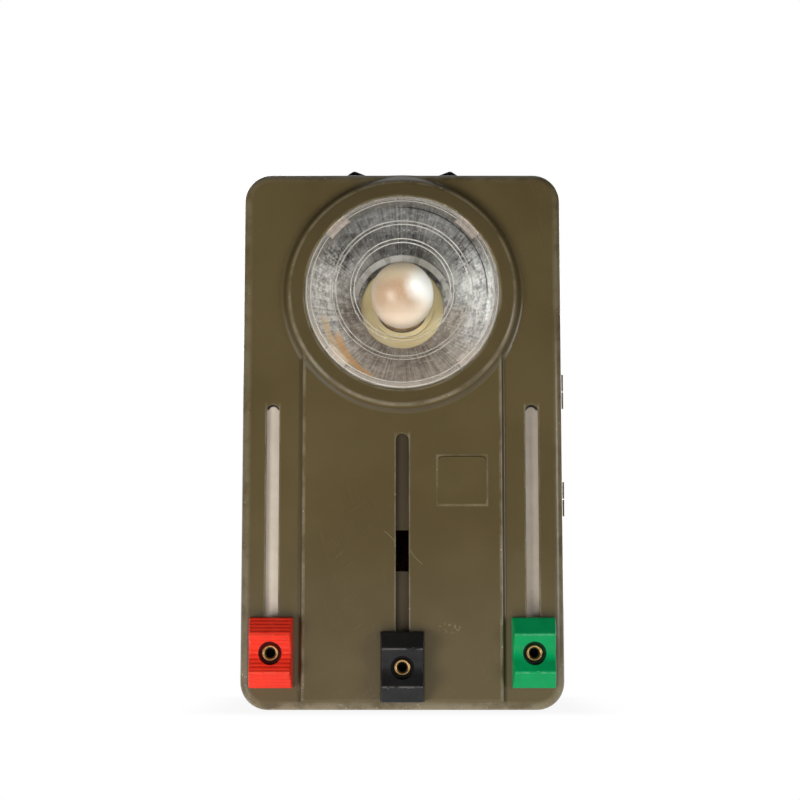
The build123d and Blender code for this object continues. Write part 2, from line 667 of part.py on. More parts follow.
def post_places():
    places = []
    for x in (-POST_X, POST_X):
        for z in (BOARD_BOTTOM + POST_INSET, BOARD_TOP - POST_INSET):
            places.append((x, z))
    return places


def rivet_places():
    """Rivets of the bulb leaf and of the switch leaf."""
    return [
        (0.0, BOARD_BOTTOM + BULB_RIVET_UP),
        (MINUS_X, BOARD_BOTTOM + SWITCH_RIVET_UP),
        (MINUS_X, BOARD_TOP - SWITCH_RIVET_DOWN),
    ]


def leaf_holes():
    return [rod(RIVET_RADIUS + JOIN_GAP, BOARD_DEPTH - 1, BOARD_FAR + 2, x, z) for x, z in rivet_places()]


def make_contact_board():
    height = BOARD_TOP - BOARD_BOTTOM
    outline = Pos(0, BOARD_BOTTOM + height / 2) * RectangleRounded(BOARD_WIDTH, height, 3)
    board = slab(outline, BOARD_DEPTH, BOARD_FAR)
    board -= rod(SOCKET_TUBE + 2 * JOIN_GAP, BOARD_DEPTH, BOARD_FAR)
    for x, z in post_places():
        board -= rod(SCREW_RADIUS + JOIN_GAP, BOARD_DEPTH, BOARD_FAR, x, z)
    for hole in leaf_holes():
        board -= hole
    return board


def make_board_posts():
    posts = []
    for x, z in post_places():
        post = rod(POST_RADIUS, TRAY_FAR + JOIN_GAP, BOARD_DEPTH - JOIN_GAP, x, z)
        posts.append(post - rod(SCREW_RADIUS + JOIN_GAP, BOARD_DEPTH - 1.2 * SCREW_LENGTH, BOARD_DEPTH, x, z))
    return Compound(children=posts)


def make_board_screws():
    screws = []
    for x, z in post_places():
        shank = rod(SCREW_RADIUS, BOARD_DEPTH - SCREW_LENGTH, BOARD_FAR + 0.5, x, z)
        head = rod(2 * SCREW_RADIUS, BOARD_FAR + JOIN_GAP, BOARD_FAR + 1.4, x, z)
        reach = 3 * SCREW_RADIUS
        groove = block(x - reach, x + reach, BOARD_FAR + 0.8, BOARD_FAR + 2, z - 0.3, z + 0.3)
        screws.append(shank + head - groove)
    return Compound(children=screws)


def make_contact_rivets():
    rivets = []
    for x, z in rivet_places():
        near = BOARD_DEPTH - 0.6
        far = BOARD_FAR + LEAF_THICKNESS + JOIN_GAP
        rivet = rod(RIVET_RADIUS, near, far + 0.6, x, z)
        rivet += rod(1.7 * RIVET_RADIUS, near, BOARD_DEPTH - JOIN_GAP, x, z)
        rivets.append(rivet + rod(1.7 * RIVET_RADIUS, far + JOIN_GAP, far + 0.6, x, z))
    return Compound(children=rivets)


def make_bulb_leaf():
    """Leaf from the foot of the board up to the tip of the bulb."""
    low = BOARD_FAR + JOIN_GAP + LEAF_THICKNESS / 2
    high = BULB_TIP + JOIN_GAP + LEAF_THICKNESS / 2
    foot = BOARD_BOTTOM + 1
    bend = rivet_places()[0][1] + 2.0
    rise = bend + high - low
    path = [(low, foot), (low, bend), (high, rise), (high, LENS_HEIGHT + LEAF_WIDTH / 2)]
    leaf = strip(path, LEAF_THICKNESS, LEAF_WIDTH, 0)
    for hole in leaf_holes():
        leaf -= hole
    return leaf


def make_switch_leaf():
    """Leaf from the foot of the board up over its top to lie below the switch."""
    rear = BOARD_FAR + JOIN_GAP + LEAF_THICKNESS / 2
    level = SWITCH_LEAF_TOP - LEAF_THICKNESS / 2
    front = SWITCH_DEPTH + STEM_BREADTH / 2
    path = [(rear, BOARD_BOTTOM + 1), (rear, level), (front, level)]
    leaf = strip(path, LEAF_THICKNESS, LEAF_WIDTH, MINUS_X)
    tab_x = CARRIAGE_RIGHT + SWITCH_TRAVEL + RUN_GAP
    near = SWITCH_DEPTH - STEM_BREADTH / 2
    right = max(MINUS_X + LEAF_WIDTH / 2, tab_x + LEAF_THICKNESS)
    leaf += block(-STEM_LENGTH / 2, right, near, front, SWITCH_LEAF_TOP - LEAF_THICKNESS, SWITCH_LEAF_TOP)
    leaf += block(tab_x, tab_x + LEAF_THICKNESS, near, front, SWITCH_LEAF_TOP - LEAF_THICKNESS, CARRIAGE_TOP)
    for hole in leaf_holes():
        leaf -= hole
    return leaf


# Battery with its two strips

def battery_outline(inset):
    return Pos(0, FRONT + BATTERY_NEAR + BATTERY_DEPTH / 2) * RectangleRounded(
        BATTERY_WIDTH - 2 * inset, BATTERY_DEPTH - 2 * inset, BATTERY_CORNER - inset)


def make_battery_jacket():
    jacket = extrude(Plane((0, 0, BATTERY_FLOOR)) * battery_outline(0), BATTERY_HEIGHT)
    return jacket - extrude(Plane((0, 0, BATTERY_TOP - 1.5)) * battery_outline(1.0), 1.5)


def make_battery_seal():
    return extrude(Plane((0, 0, BATTERY_TOP - 1.5 + JOIN_GAP)) * battery_outline(1.0 + JOIN_GAP), 1.2)


def battery_strip(x, top):
    """Strip that rises from the seal, runs to the rear and lies against a leaf."""
    start = BATTERY_NEAR + BATTERY_DEPTH / 2
    rest = BOARD_FAR + LEAF_THICKNESS + 3 * JOIN_GAP + STRIP_THICKNESS / 2
    level = BATTERY_TOP + 1.5
    path = [(start, BATTERY_TOP - 0.2), (start, level), (rest, level), (rest, top)]
    return strip(path, STRIP_THICKNESS, STRIP_WIDTH, x)


def make_plus_strip():
    return battery_strip(0, BOARD_BOTTOM + PLUS_RISE)


def make_minus_strip():
    return battery_strip(MINUS_X, BOARD_BOTTOM + MINUS_RISE)


# Switch: rails, carriage, knob with stem, return spring

def make_switch_rails():
    rails = []
    lip_top = CARRIAGE_BOTTOM - RUN_GAP
    left = -CARRIAGE_LEFT - 1
    right = CARRIAGE_RIGHT + SWITCH_TRAVEL
    for side in (-1, 1):
        outside = SWITCH_DEPTH + side * RAIL_REACH
        wall = sorted((outside, outside - side * PLATE_THICKNESS))
        lip = sorted((outside, outside - side * 3 * PLATE_THICKNESS))
        rail = block(left, right, *wall, lip_top - PLATE_THICKNESS, INNER_TOP - JOIN_GAP)
        rails.append(rail + block(left, right, *lip, lip_top - PLATE_THICKNESS, lip_top))
    return Compound(children=rails)


def make_switch_carriage():
    half = CARRIAGE_BREADTH / 2
    near = SWITCH_DEPTH - half
    plate = block(-CARRIAGE_LEFT, CARRIAGE_RIGHT, near, near + 2 * half, CARRIAGE_BOTTOM, CARRIAGE_TOP)
    hole_length = STEM_LENGTH / 2 + RUN_GAP
    hole_breadth = STEM_BREADTH / 2 + RUN_GAP
    return plate - block(
        -hole_length, hole_length, SWITCH_DEPTH - hole_breadth, SWITCH_DEPTH + hole_breadth,
        CARRIAGE_BOTTOM, CARRIAGE_TOP,
    )


def make_switch_knob():
    """Saddle-shaped thumb piece with a horn at each end."""
    half = SWITCH_LENGTH / 2
    horn = CASE_HEIGHT + SWITCH_HORN
    saddle = CASE_HEIGHT + SWITCH_SADDLE
    corners = [
        (-half, SWITCH_UNDER), (-half, SWITCH_UNDER + 0.8), (-half + 2.0, horn),
        (SWITCH_HORN_RUN - half, saddle), (half - SWITCH_HORN_RUN, saddle),
        (half - 2.0, horn), (half, SWITCH_UNDER + 0.8), (half, SWITCH_UNDER),
    ]
    outline = make_face(FilletPolyline(*corners, radius=[0, 0.4, 1, 4, 4, 1, 0.4, 0], close=True))
    breadth = SWITCH_BREADTH / 2
    knob = slab(outline, SWITCH_DEPTH - breadth, SWITCH_DEPTH + breadth)
    ends = knob.faces().sort_by(Axis.Y)
    rims = ends[0].outer_wire().edges() + ends[-1].outer_wire().edges()
    return fillet([edge for edge in rims if edge.center().Z > SWITCH_UNDER + 0.5], 0.5)


def make_switch_stem():
    """Stem of the knob with the contact stud clinched to its lower end."""
    length = STEM_LENGTH / 2
    breadth = STEM_BREADTH / 2
    near = SWITCH_DEPTH - breadth
    far = SWITCH_DEPTH + breadth
    stem = block(-length, length, near, far, STUD_BOTTOM, SWITCH_UNDER - JOIN_GAP)
    return stem + block(-length - 1, length + 1, near, far, STUD_BOTTOM, STUD_TOP)


def make_switch_spring():
    """Bowed return spring between the case and the knob, with a hole for the stem."""
    span = SWITCH_LENGTH / 2 - 3
    low = CASE_HEIGHT + SPRING_SHEET / 2 + JOIN_GAP
    high = SWITCH_UNDER - SPRING_SHEET / 2 - JOIN_GAP
    bow = trace(ThreePointArc((-span, low), (0, high), (span, low)), line_width=SPRING_SHEET)
    spring = slab(bow, SWITCH_DEPTH - SWITCH_BREADTH / 3, SWITCH_DEPTH + SWITCH_BREADTH / 3)
    hole = STEM_BREADTH / 2 + RUN_GAP
    return spring - block(
        -STEM_LENGTH / 2 - RUN_GAP, STEM_LENGTH / 2 + RUN_GAP, SWITCH_DEPTH - hole, SWITCH_DEPTH + hole,
        CASE_HEIGHT, SWITCH_UNDER,
    )


# Rear cover, hinges, lining and hanging tab

def pressed_rear(inset, front):
    """Outside of the rear cover, or its inside when an inset is given."""
    body = slab(case_outline(inset), front, CASE_DEPTH - inset)
    body = fillet(body.edges().group_by(Axis.Y)[-1], REAR_EDGE_RADIUS - inset)
    margin = COVER_PANEL_MARGIN + inset * math.tan(SLOPE / 2)
    width = CASE_WIDTH - 2 * margin
    height = CASE_HEIGHT - 2 * margin
    raised = Pos(0, CASE_HEIGHT / 2) * RectangleRounded(width, height, CORNER_RADIUS / 2)
    far = CASE_DEPTH + COVER_PANEL_RISE - inset
    plane = Plane(origin=(0, FRONT + far - 2 * COVER_PANEL_RISE, 0), x_dir=(-1, 0, 0), z_dir=(0, 1, 0))
    return body + extrude(plane * raised, amount=2 * COVER_PANEL_RISE, taper=90 - RELIEF_SLOPE)


def tab_rivet_places():
    return [(-TAB_RIVET_X, TAB_TOP - TAB_RIVET_DOWN), (TAB_RIVET_X, TAB_TOP - TAB_RIVET_DOWN)]


def make_rear_cover():
    front = SHELL_DEPTH + SPLIT_GAP
    cover = pressed_rear(0, front) - pressed_rear(SHEET, front - 1)
    for x, z in tab_rivet_places():
        cover -= rod(RIVET_RADIUS + JOIN_GAP, COVER_INSIDE - 1, TAB_NEAR + 1, x, z)
    return cover


def hinge_places():
    """Middle height of each hinge and which way its case knuckle lies."""
    middle = CASE_HEIGHT / 2
    return [(middle - HINGE_SPACING / 2, -1), (middle + HINGE_SPACING / 2, 1)]


def knuckle(z0, z1, bore, near, far):
    """One hinge leaf with its knuckle round the pin."""
    axis_y = FRONT + HINGE_DEPTH
    tube = Pos(HINGE_X, axis_y, (z0 + z1) / 2) * Cylinder(KNUCKLE_RADIUS, z1 - z0)
    wall = CASE_WIDTH / 2 + JOIN_GAP
    leaf = block(wall, wall + LEAF_PLATE, near, far, z0, z1)
    return tube + leaf - Pos(HINGE_X, axis_y, (z0 + z1) / 2) * Cylinder(bore, z1 - z0)


def make_case_hinges():
    leaves = []
    for middle, way in hinge_places():
        low, high = sorted((middle + way * RUN_GAP / 2, middle + way * (KNUCKLE_LENGTH + RUN_GAP / 2)))
        bore = PIN_RADIUS + PIN_FIT / 2
        leaves.append(knuckle(low, high, bore, HINGE_DEPTH - LEAF_REACH, HINGE_DEPTH - 0.5))
    return Compound(children=leaves)


def make_cover_hinges():
    leaves = []
    for middle, way in hinge_places():
        low, high = sorted((middle - way * RUN_GAP / 2, middle - way * (KNUCKLE_LENGTH + RUN_GAP / 2)))
        bore = PIN_RADIUS + PIN_FIT
        leaves.append(knuckle(low, high, bore, HINGE_DEPTH + 0.5, HINGE_DEPTH + LEAF_REACH))
    return Compound(children=leaves)


def make_hinge_pins():
    length = 2 * KNUCKLE_LENGTH + RUN_GAP
    pins = []
    for middle, way in hinge_places():
        pins.append(Pos(HINGE_X, FRONT + HINGE_DEPTH, middle) * Cylinder(PIN_RADIUS, length))
    return Compound(children=pins)


def make_cover_lining():
    """Pressboard sheet glued inside the rear cover so that the contacts cannot touch it."""
    inset = SHEET + REAR_EDGE_RADIUS
    lining = slab(case_outline(inset), LINING_NEAR, LINING_NEAR + BOARD_PAPER)
    for x, z in tab_rivet_places():
        lining -= rod(2.2 * RIVET_RADIUS, COVER_INSIDE - 2, COVER_INSIDE, x, z)
    return lining


def make_battery_pad():
    """Felt pad on the lining that presses the battery forward."""
    middle = BATTERY_FLOOR + BATTERY_HEIGHT / 2
    outline = Pos(0, middle) * RectangleRounded(BATTERY_WIDTH / 2, BATTERY_HEIGHT / 2, 2)
    return slab(outline, PAD_NEAR, PAD_NEAR + PAD_FELT)


def make_hanging_tab():
    """Leather tab with a buttonhole, riveted to the rear cover."""
    middle = TAB_TOP - TAB_LENGTH / 2
    outline = Pos(0, middle) * Rectangle(TAB_WIDTH, TAB_LENGTH)
    low = [v for v in outline.vertices() if v.Y < middle]
    outline = fillet(low, TAB_WIDTH / 2.5)
    high = [v for v in outline.vertices() if v.Y > TAB_TOP - 0.1]
    outline = fillet(high, TAB_WIDTH / 8)
    foot = TAB_TOP - TAB_LENGTH + TAB_HOLE_UP
    outline -= upright_slot(0, foot, foot + TAB_HOLE_LENGTH, TAB_HOLE_WIDTH)
    tab = slab(outline, TAB_NEAR + JOIN_GAP, TAB_NEAR + TAB_THICKNESS)
    for x, z in tab_rivet_places():
        tab -= rod(RIVET_RADIUS + JOIN_GAP, TAB_NEAR, TAB_NEAR + TAB_THICKNESS, x, z)
    return tab


def make_tab_rivets():
    far = TAB_NEAR + TAB_THICKNESS + JOIN_GAP
    inside = TAB_NEAR - SHEET - JOIN_GAP
    rivets = []
    for x, z in tab_rivet_places():
        head = TAB_RIVET_HEAD
        top = far + head / 3
        dome = [(0, far), (head, far), (0.85 * head, far + head / 5), (0.4 * head, top), (0, top)]
        cap = turned(dome, 0, x, z)
        rivet = cap + rod(RIVET_RADIUS, inside - 0.5, far, x, z)
        rivets.append(rivet + rod(1.9 * RIVET_RADIUS, inside - 0.5, inside, x, z))
    return Compound(children=rivets)


def knob_set(x, z, level, near):
    """A knob with the eyelet that clinches it to the plate lying at a depth."""
    return make_knob(x, z, level, near), make_eyelet(x, z, level, near + PLATE_THICKNESS)


def all_nodes():
    red_knob, red_eyelet = knob_set(-SIDE_SLOT_X, SIDE_KNOB_HEIGHT, 0.0, RED_NEAR)
    green_knob, green_eyelet = knob_set(SIDE_SLOT_X, SIDE_KNOB_HEIGHT, 0.0, GREEN_NEAR)
    shutter_knob, shutter_eyelet = knob_set(0.0, MIDDLE_KNOB_HEIGHT, PANEL_TOP, SHUTTER_NEAR)
    return {
        "front_shell": make_front_shell(),
        "lip_frame": make_lip_frame(),
        "case_hinges": make_case_hinges(),
        "hinge_pins": make_hinge_pins(),
        "lens": make_lens(),
        "lens_gasket": make_lens_gasket(),
        "lens_retainer": make_lens_retainer(),
        "filter_tray": make_filter_tray(),
        "reflector": make_reflector(),
        "lamp_socket": make_lamp_socket(),
        "socket_sleeve": make_socket_sleeve(),
        "bulb_glass": make_bulb_glass(),
        "bulb_stem": make_bulb_stem(),
        "bulb_filament": make_bulb_filament(),
        "bulb_base": make_bulb_base(),
        "bulb_insulator": make_bulb_insulator(),
        "bulb_tip": make_bulb_tip(),
        "contact_board": make_contact_board(),
        "board_posts": make_board_posts(),
        "board_screws": make_board_screws(),
        "contact_rivets": make_contact_rivets(),
        "bulb_leaf": make_bulb_leaf(),
        "switch_leaf": make_switch_leaf(),
        "switch_rails": make_switch_rails(),
        "battery_jacket": make_battery_jacket(),
        "battery_seal": make_battery_seal(),
        "battery_plus_strip": make_plus_strip(),
        "battery_minus_strip": make_minus_strip(),
        "red_knob": red_knob,
        "red_eyelet": red_eyelet,
        "red_carrier": make_carrier(-1, RED_NEAR),
        "red_filter": make_filter(-1, RED_NEAR + PLATE_THICKNESS),
        "green_knob": green_knob,
        "green_eyelet": green_eyelet,
        "green_carrier": make_carrier(1, GREEN_NEAR),
        "green_filter": make_filter(1, GREEN_NEAR + PLATE_THICKNESS),
        "shutter_knob": shutter_knob,
        "shutter_eyelet": shutter_eyelet,
        "shutter_plate": make_shutter_plate(),
        "switch_carriage": make_switch_carriage(),
        "switch_knob": make_switch_knob(),
        "switch_stem": make_switch_stem(),
        "switch_spring": make_switch_spring(),
        "rear_cover": make_rear_cover(),
        "cover_hinges": make_cover_hinges(),
        "cover_lining": make_cover_lining(),
        "battery_pad": make_battery_pad(),
        "hanging_tab": make_hanging_tab(),
        "tab_rivets": make_tab_rivets(),
    }


os.makedirs("parts", exist_ok=True)
for name, shape in all_nodes().items():
    export_step(shape, f"parts/{name}.step")
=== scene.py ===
import math

import bmesh
import bpy
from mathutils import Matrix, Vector


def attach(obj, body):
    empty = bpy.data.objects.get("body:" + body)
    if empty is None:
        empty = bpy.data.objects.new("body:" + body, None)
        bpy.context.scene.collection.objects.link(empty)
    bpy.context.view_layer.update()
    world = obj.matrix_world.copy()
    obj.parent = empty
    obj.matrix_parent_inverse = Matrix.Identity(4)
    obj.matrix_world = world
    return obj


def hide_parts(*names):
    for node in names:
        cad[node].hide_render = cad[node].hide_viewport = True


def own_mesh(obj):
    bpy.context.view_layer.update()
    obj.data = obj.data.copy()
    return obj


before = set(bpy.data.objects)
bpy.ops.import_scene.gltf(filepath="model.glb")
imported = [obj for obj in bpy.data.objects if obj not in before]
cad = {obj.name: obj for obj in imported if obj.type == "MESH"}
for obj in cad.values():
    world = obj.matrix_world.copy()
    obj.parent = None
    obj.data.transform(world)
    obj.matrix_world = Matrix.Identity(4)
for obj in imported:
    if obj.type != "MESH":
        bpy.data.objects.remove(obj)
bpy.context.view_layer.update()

# Sizes in millimetres, to fit the solids. Depths count to the rear from the face.
MM = 0.001
FACE = -15.5
CASE_WIDTH = 70.0
CASE_HEIGHT = 117.5
CASE_DEPTH = 31.0
CASE_CORNER = 6.0
LENS_HEIGHT = 90.5
LENS_RADIUS = 21.2
LENS_RIDGES = (10.4, 11.2, 14.5, 15.25, 20.0, 20.95)
PANEL_LEVEL = -0.7
RING_LEVEL = -2.2
SIDE_SLOT = 28.25
SLOT_HALF = 1.5
RED_PLATE = 1.2
GREEN_PLATE = 2.0
SHUTTER_PLATE = 0.35
PLATE = 0.5
BATTERY_MIDDLE = 35.2
# x and z of the middle of each knob, and the level of the face below it.
RED_KNOB = (-SIDE_SLOT, 12.4, 0.0)
GREEN_KNOB = (SIDE_SLOT, 12.4, 0.0)
SHUTTER_KNOB = (0.0, 9.4, PANEL_LEVEL)
KNOB_GAP = 0.3
KNOB_SEAT = 1.35
KNOB_RIDGE = 4.0

# Where the enamel of the front shell is rubbed or marked, or lightened by painted highlights or darkened by
# painted shade.
LENS_MOUTH = 21.5
RING_EDGE = 24.7
RING_FOOT = 25.8
PANEL_EDGE = 21.4
PANEL_FOOT = 22.1
SIDE_SLOT_TOP = 66.6
MIDDLE_SLOT_TOP = 60.2
PAD_MIDDLE = (13.0, 49.4)
PAD_HALF = 5.4
NICKS = (10.3, 17.6)
# Each hair scratch is an arc: x and z of its middle, its radius, and where it starts and ends in x.
HAIR_ARCS = ((9.0, 38.0, 8.15, 1.3, 4.6), (-9.0, 31.0, 8.97, -4.2, -1.4))

WHITE = (1.0, 1.0, 1.0, 1.0)


# Node recipes

class Signal:
    """An output of a node, which can stand in a sum with numbers and other outputs."""

    def __init__(self, recipe, socket):
        self.recipe = recipe
        self.socket = socket

    def output(self, name):
        return Signal(self.recipe, self.socket.node.outputs[name])

    def sum(self, operation, first, second):
        return self.recipe.node("ShaderNodeMath", {"operation": operation}, {0: first, 1: second})

    def __add__(self, other):
        return self.sum("ADD", self, other)

    def __radd__(self, other):
        return self.sum("ADD", other, self)

    def __sub__(self, other):
        return self.sum("SUBTRACT", self, other)

    def __rsub__(self, other):
        return self.sum("SUBTRACT", other, self)

    def __mul__(self, other):
        return self.sum("MULTIPLY", self, other)

    def __rmul__(self, other):
        return self.sum("MULTIPLY", other, self)

    def __truediv__(self, other):
        return self.sum("DIVIDE", self, other)

    def __rtruediv__(self, other):
        return self.sum("DIVIDE", other, self)

    def __pow__(self, other):
        return self.sum("POWER", self, other)

    def __abs__(self):
        return self.sum("ABSOLUTE", self, 0.0)

    def most(self, other):
        return self.sum("MAXIMUM", self, other)

    def least(self, other):
        return self.sum("MINIMUM", self, other)

    def turn(self, across):
        """Angle of the way up that this is and of a way across."""
        return self.sum("ARCTAN2", self, across)


class Recipe:
    """The nodes of one finish, or of the world."""

    def __init__(self, owner):
        owner.use_nodes = True
        self.owner = owner
        self.tree = owner.node_tree
        self.tree.nodes.clear()

    def node(self, kind, settings, inputs, output=0):
        """Adds a node: its settings first, then values or links for its sockets."""
        made = self.tree.nodes.new(kind)
        for name, value in settings.items():
            setattr(made, name, value)
        for key, value in inputs.items():
            if isinstance(value, Signal):
                self.tree.links.new(value.socket, made.inputs[key])
            else:
                made.inputs[key].default_value = value
        return Signal(self, made.outputs[output]) if made.outputs else None

    def mix(self, share, first, second):
        """Colour between two colours."""
        return self.node("ShaderNodeMix", {"data_type": "RGBA"}, {0: share, 6: first, 7: second}, 2)

    def band(self, value, low, high):
        """0 at low, 1 at high and a soft step between them."""
        settings = {"interpolation_type": "SMOOTHSTEP"}
        return self.node("ShaderNodeMapRange", settings, {0: value, 1: low, 2: high})


class Finish(Recipe):
    """A material of one finish, measured in millimetres on the piece itself."""

    def __init__(self, name):
        super().__init__(bpy.data.materials.new(name))
        where = self.node("ShaderNodeTexCoord", {}, {}, "Object")
        self.spot = self.node("ShaderNodeVectorMath", {"operation": "SCALE"}, {0: where, "Scale": 1 / MM})
        self.x = self.node("ShaderNodeSeparateXYZ", {}, {0: self.spot})
        self.y = self.x.output("Y")
        self.z = self.x.output("Z")

    def moved(self, spot, scale, shift):
        """A place times a scale along each axis, plus a shift."""
        return self.node("ShaderNodeVectorMath", {"operation": "MULTIPLY_ADD"}, {0: spot, 1: scale, 2: shift})

    def stretched(self, size, stretch=(1, 1, 1), shift=0.0):
        """The place on the piece, counted in patches of one size."""
        return self.moved(self.spot, [1 / (size * length) for length in stretch], [shift] * 3)

    def noise(self, spot, detail, rough=0.5):
        """Cloudy pattern from 0 to 1 at a counted place."""
        return self.node("ShaderNodeTexNoise", {}, {
            "Vector": spot, "Scale": 1.0, "Detail": detail, "Roughness": rough})

    def cloud(self, size, detail=3.0, rough=0.55, stretch=(1, 1, 1), shift=0.0):
        """Cloudy pattern from 0 to 1 with patches of one size."""
        return self.noise(self.stretched(size, stretch, shift), detail, rough)

    def cells(self, size):
        """Distance from the edges of cells of one size."""
        settings = {"feature": "DISTANCE_TO_EDGE"}
        return self.node("ShaderNodeTexVoronoi", settings, {"Vector": self.stretched(size), "Scale": 1.0})

    def rays(self, count):
        """Cloudy pattern that runs out from the lens axis, with about so many patches round it."""
        level = self.moved(self.spot, (1, 0, 1), (0, 0, -LENS_HEIGHT))
        out = self.node("ShaderNodeVectorMath", {"operation": "NORMALIZE"}, {0: level})
        ring = self.moved(out, [count / 6.3] * 3, (0, 0, 0))
        return self.noise(self.moved(level, [0.06] * 3, ring), 2.0)

    def tiles(self, across):
        """A random number from 0 to 1 for each tile of a count."""
        place = self.node("ShaderNodeCombineXYZ", {}, {0: across})
        tile = self.node("ShaderNodeVectorMath", {"operation": "FLOOR"}, {0: place})
        return self.node("ShaderNodeTexWhiteNoise", {}, {"Vector": tile})

    def scratches(self, length, width, turn, shift):
        """Sparse hair lines in one direction on the faces that look to the front or rear."""
        settings = {"rotation_type": "Y_AXIS"}
        lean = self.node("ShaderNodeVectorRotate", settings, {"Vector": self.spot, "Angle": turn})
        grain = self.noise(self.moved(lean, [1 / width, 0.05, 1 / length], [shift] * 3), 1.0)
        return self.band(grain, 0.70, 0.76)

    def bump(self, height, depth):
        """Raises the surface by a pattern, up to a depth."""
        return self.node("ShaderNodeBump", {}, {"Strength": 1.0, "Distance": depth * MM, "Height": height})

    def shader(self, **sockets):
        """Main shader; each name is one of its sockets."""
        inputs = {name.replace("_", " "): value for name, value in sockets.items()}
        return self.node("ShaderNodeBsdfPrincipled", {}, inputs)

    def between(self, share, first, second):
        """Shader between two shaders."""
        return self.node("ShaderNodeMixShader", {}, {0: share, 1: first, 2: second})

    def close(self, shader):
        """Ends the recipe with a shader and gives back the material."""
        self.node("ShaderNodeOutputMaterial", {}, {"Surface": shader})
        return self.owner

    def surface(self, base, rough, height, depth, **sockets):
        """Ends the recipe with one shader: colour, roughness, and a pattern that raises it up to a depth."""
        return self.close(self.shader(
            Base_Color=base, Roughness=rough, Normal=self.bump(height, depth), **sockets))


def tone(red, green, blue):
    """Colour from screen values of 0 to 255."""
    shares = []
    for value in (red, green, blue):
        share = value / 255
        shares.append(share / 12.92 if share <= 0.04045 else ((share + 0.055) / 1.055) ** 2.4)
    return (*shares, 1.0)


# Distances that the finishes use

def inside_outline(finish):
    """Distance in from the outline of the case, seen from the front."""
    across = abs(finish.x) - (CASE_WIDTH / 2 - CASE_CORNER)
    along = abs(finish.z - CASE_HEIGHT / 2) - (CASE_HEIGHT / 2 - CASE_CORNER)
    corner = (across.most(0.0) ** 2 + along.most(0.0) ** 2) ** 0.5
    return CASE_CORNER - corner - across.most(along).least(0.0)


def from_point(finish, x, z):
    """Distance from an axis through a point, seen from the front."""
    return ((finish.x - x) ** 2 + (finish.z - z) ** 2) ** 0.5


def from_lens_axis(finish):
    """Distance from the axis of the lens."""
    return (finish.x ** 2 + (finish.z - LENS_HEIGHT) ** 2) ** 0.5


def slot_sides(finish, beside, top):
    """1 along the sides of an upright slot, from the distance beside its middle, up to its round end."""
    return finish.band(abs(beside - SLOT_HALF), 0.35, 0.05) * finish.band(finish.z, top, top - 0.8)


def shell_edges(finish):
    """1 on the pressed and cut edges of the front shell, and a little more near its foot, where the enamel is
    lightened partly as rubbing and partly as painted highlight.
    """
    depth = finish.y - FACE
    rim = finish.band(inside_outline(finish) + depth.most(0.0), 2.3, 0.9)
    rim = rim * (0.9 + 0.5 * finish.band(finish.z, 14.0, 4.0))
    away = from_lens_axis(finish)
    ring = finish.band(abs(away - RING_EDGE), 0.5, 0.15) * finish.band(depth, -1.5, -1.9)
    mouth = finish.band(abs(away - LENS_MOUTH), 0.5, 0.1) * finish.band(depth, -1.6, -2.0)
    panel = finish.band(abs(abs(finish.x) - PANEL_EDGE), 0.5, 0.15) * finish.band(depth, -0.3, -0.6)
    panel = panel * finish.band(finish.z, 79.0, 76.0)
    cut = slot_sides(finish, abs(abs(finish.x) - SIDE_SLOT), SIDE_SLOT_TOP)
    cut = cut.most(slot_sides(finish, abs(finish.x), MIDDLE_SLOT_TOP)) * finish.band(finish.z, 8.0, 9.0)
    beside_pad = abs(finish.x - PAD_MIDDLE[0]).most(abs(finish.z - PAD_MIDDLE[1]))
    pad = finish.band(abs(beside_pad - PAD_HALF), 0.35, 0.1) * finish.band(depth, -0.4, -0.6)
    return rim.most(ring).most(mouth).most(panel).most(cut).most(pad)


def shell_hollows(finish):
    """Painted shade: 1 along the feet of the ring and the panel, and less on the flat of the ring, more
    towards its top.
    """
    depth = finish.y - FACE
    away = from_lens_axis(finish)
    foot = finish.band(abs(away - RING_FOOT), 0.7, 0.2) * finish.band(depth, -1.7, -1.3)
    panel = finish.band(abs(abs(finish.x) - PANEL_FOOT), 0.75, 0.2) * finish.band(depth, -0.66, -0.45)
    panel = panel * finish.band(away, RING_FOOT - 0.6, RING_FOOT) * finish.band(finish.z, 80.0, 77.0)
    flat = finish.band(depth, -1.9, -2.15) * (0.35 + 0.4 * finish.band(finish.z, 92.0, 112.0))
    return foot.most(panel).most(flat) * finish.band(depth, 0.5, 0.2)


def panel_marks(finish):
    """1 on two curved hair scratches beside the middle slot and on a group of small nicks."""
    nicks = finish.band(finish.cloud(0.7, 3.0, 0.6, shift=7.0), 0.56, 0.61)
    group = ((0.4 * (finish.x - NICKS[0])) ** 2 + (finish.z - NICKS[1]) ** 2) ** 0.5
    marks = nicks * finish.band(group, 1.4, 0.7)
    for x, z, radius, left, right in HAIR_ARCS:
        off = abs(from_point(finish, x, z) - radius)
        span = finish.band(finish.x, left, left + 0.5) * finish.band(finish.x, right, right - 0.5)
        near = span * finish.band(finish.z, 40.0, 39.0) * finish.band(finish.z, 28.0, 29.0)
        marks = marks.most(finish.band(off, 0.11, 0.04) * near)
    return marks


def no_marks(finish):
    """0 everywhere, where there is no painted shade or mark."""
    return finish.x * 0.0


def cover_edges(finish):
    """1 on the edges of the rear cover, and less on its lip and its raised middle."""
    depth = finish.y - FACE
    inside = inside_outline(finish)
    rim = finish.band(inside + (CASE_DEPTH - depth).most(0.0), 2.7, 1.1)
    lip = finish.band(depth, 23.8, 23.35)
    raised = finish.band(abs(inside - 7.3), 0.6, 0.2) * finish.band(depth, CASE_DEPTH + 0.1, CASE_DEPTH + 0.4)
    return rim.most(lip * 0.7).most(raised * 0.8)


def leaf_edges(finish):
    """1 on the outer edges of the hinge leaves."""
    return finish.band(abs(finish.x), 36.9, 37.7)


# Finishes

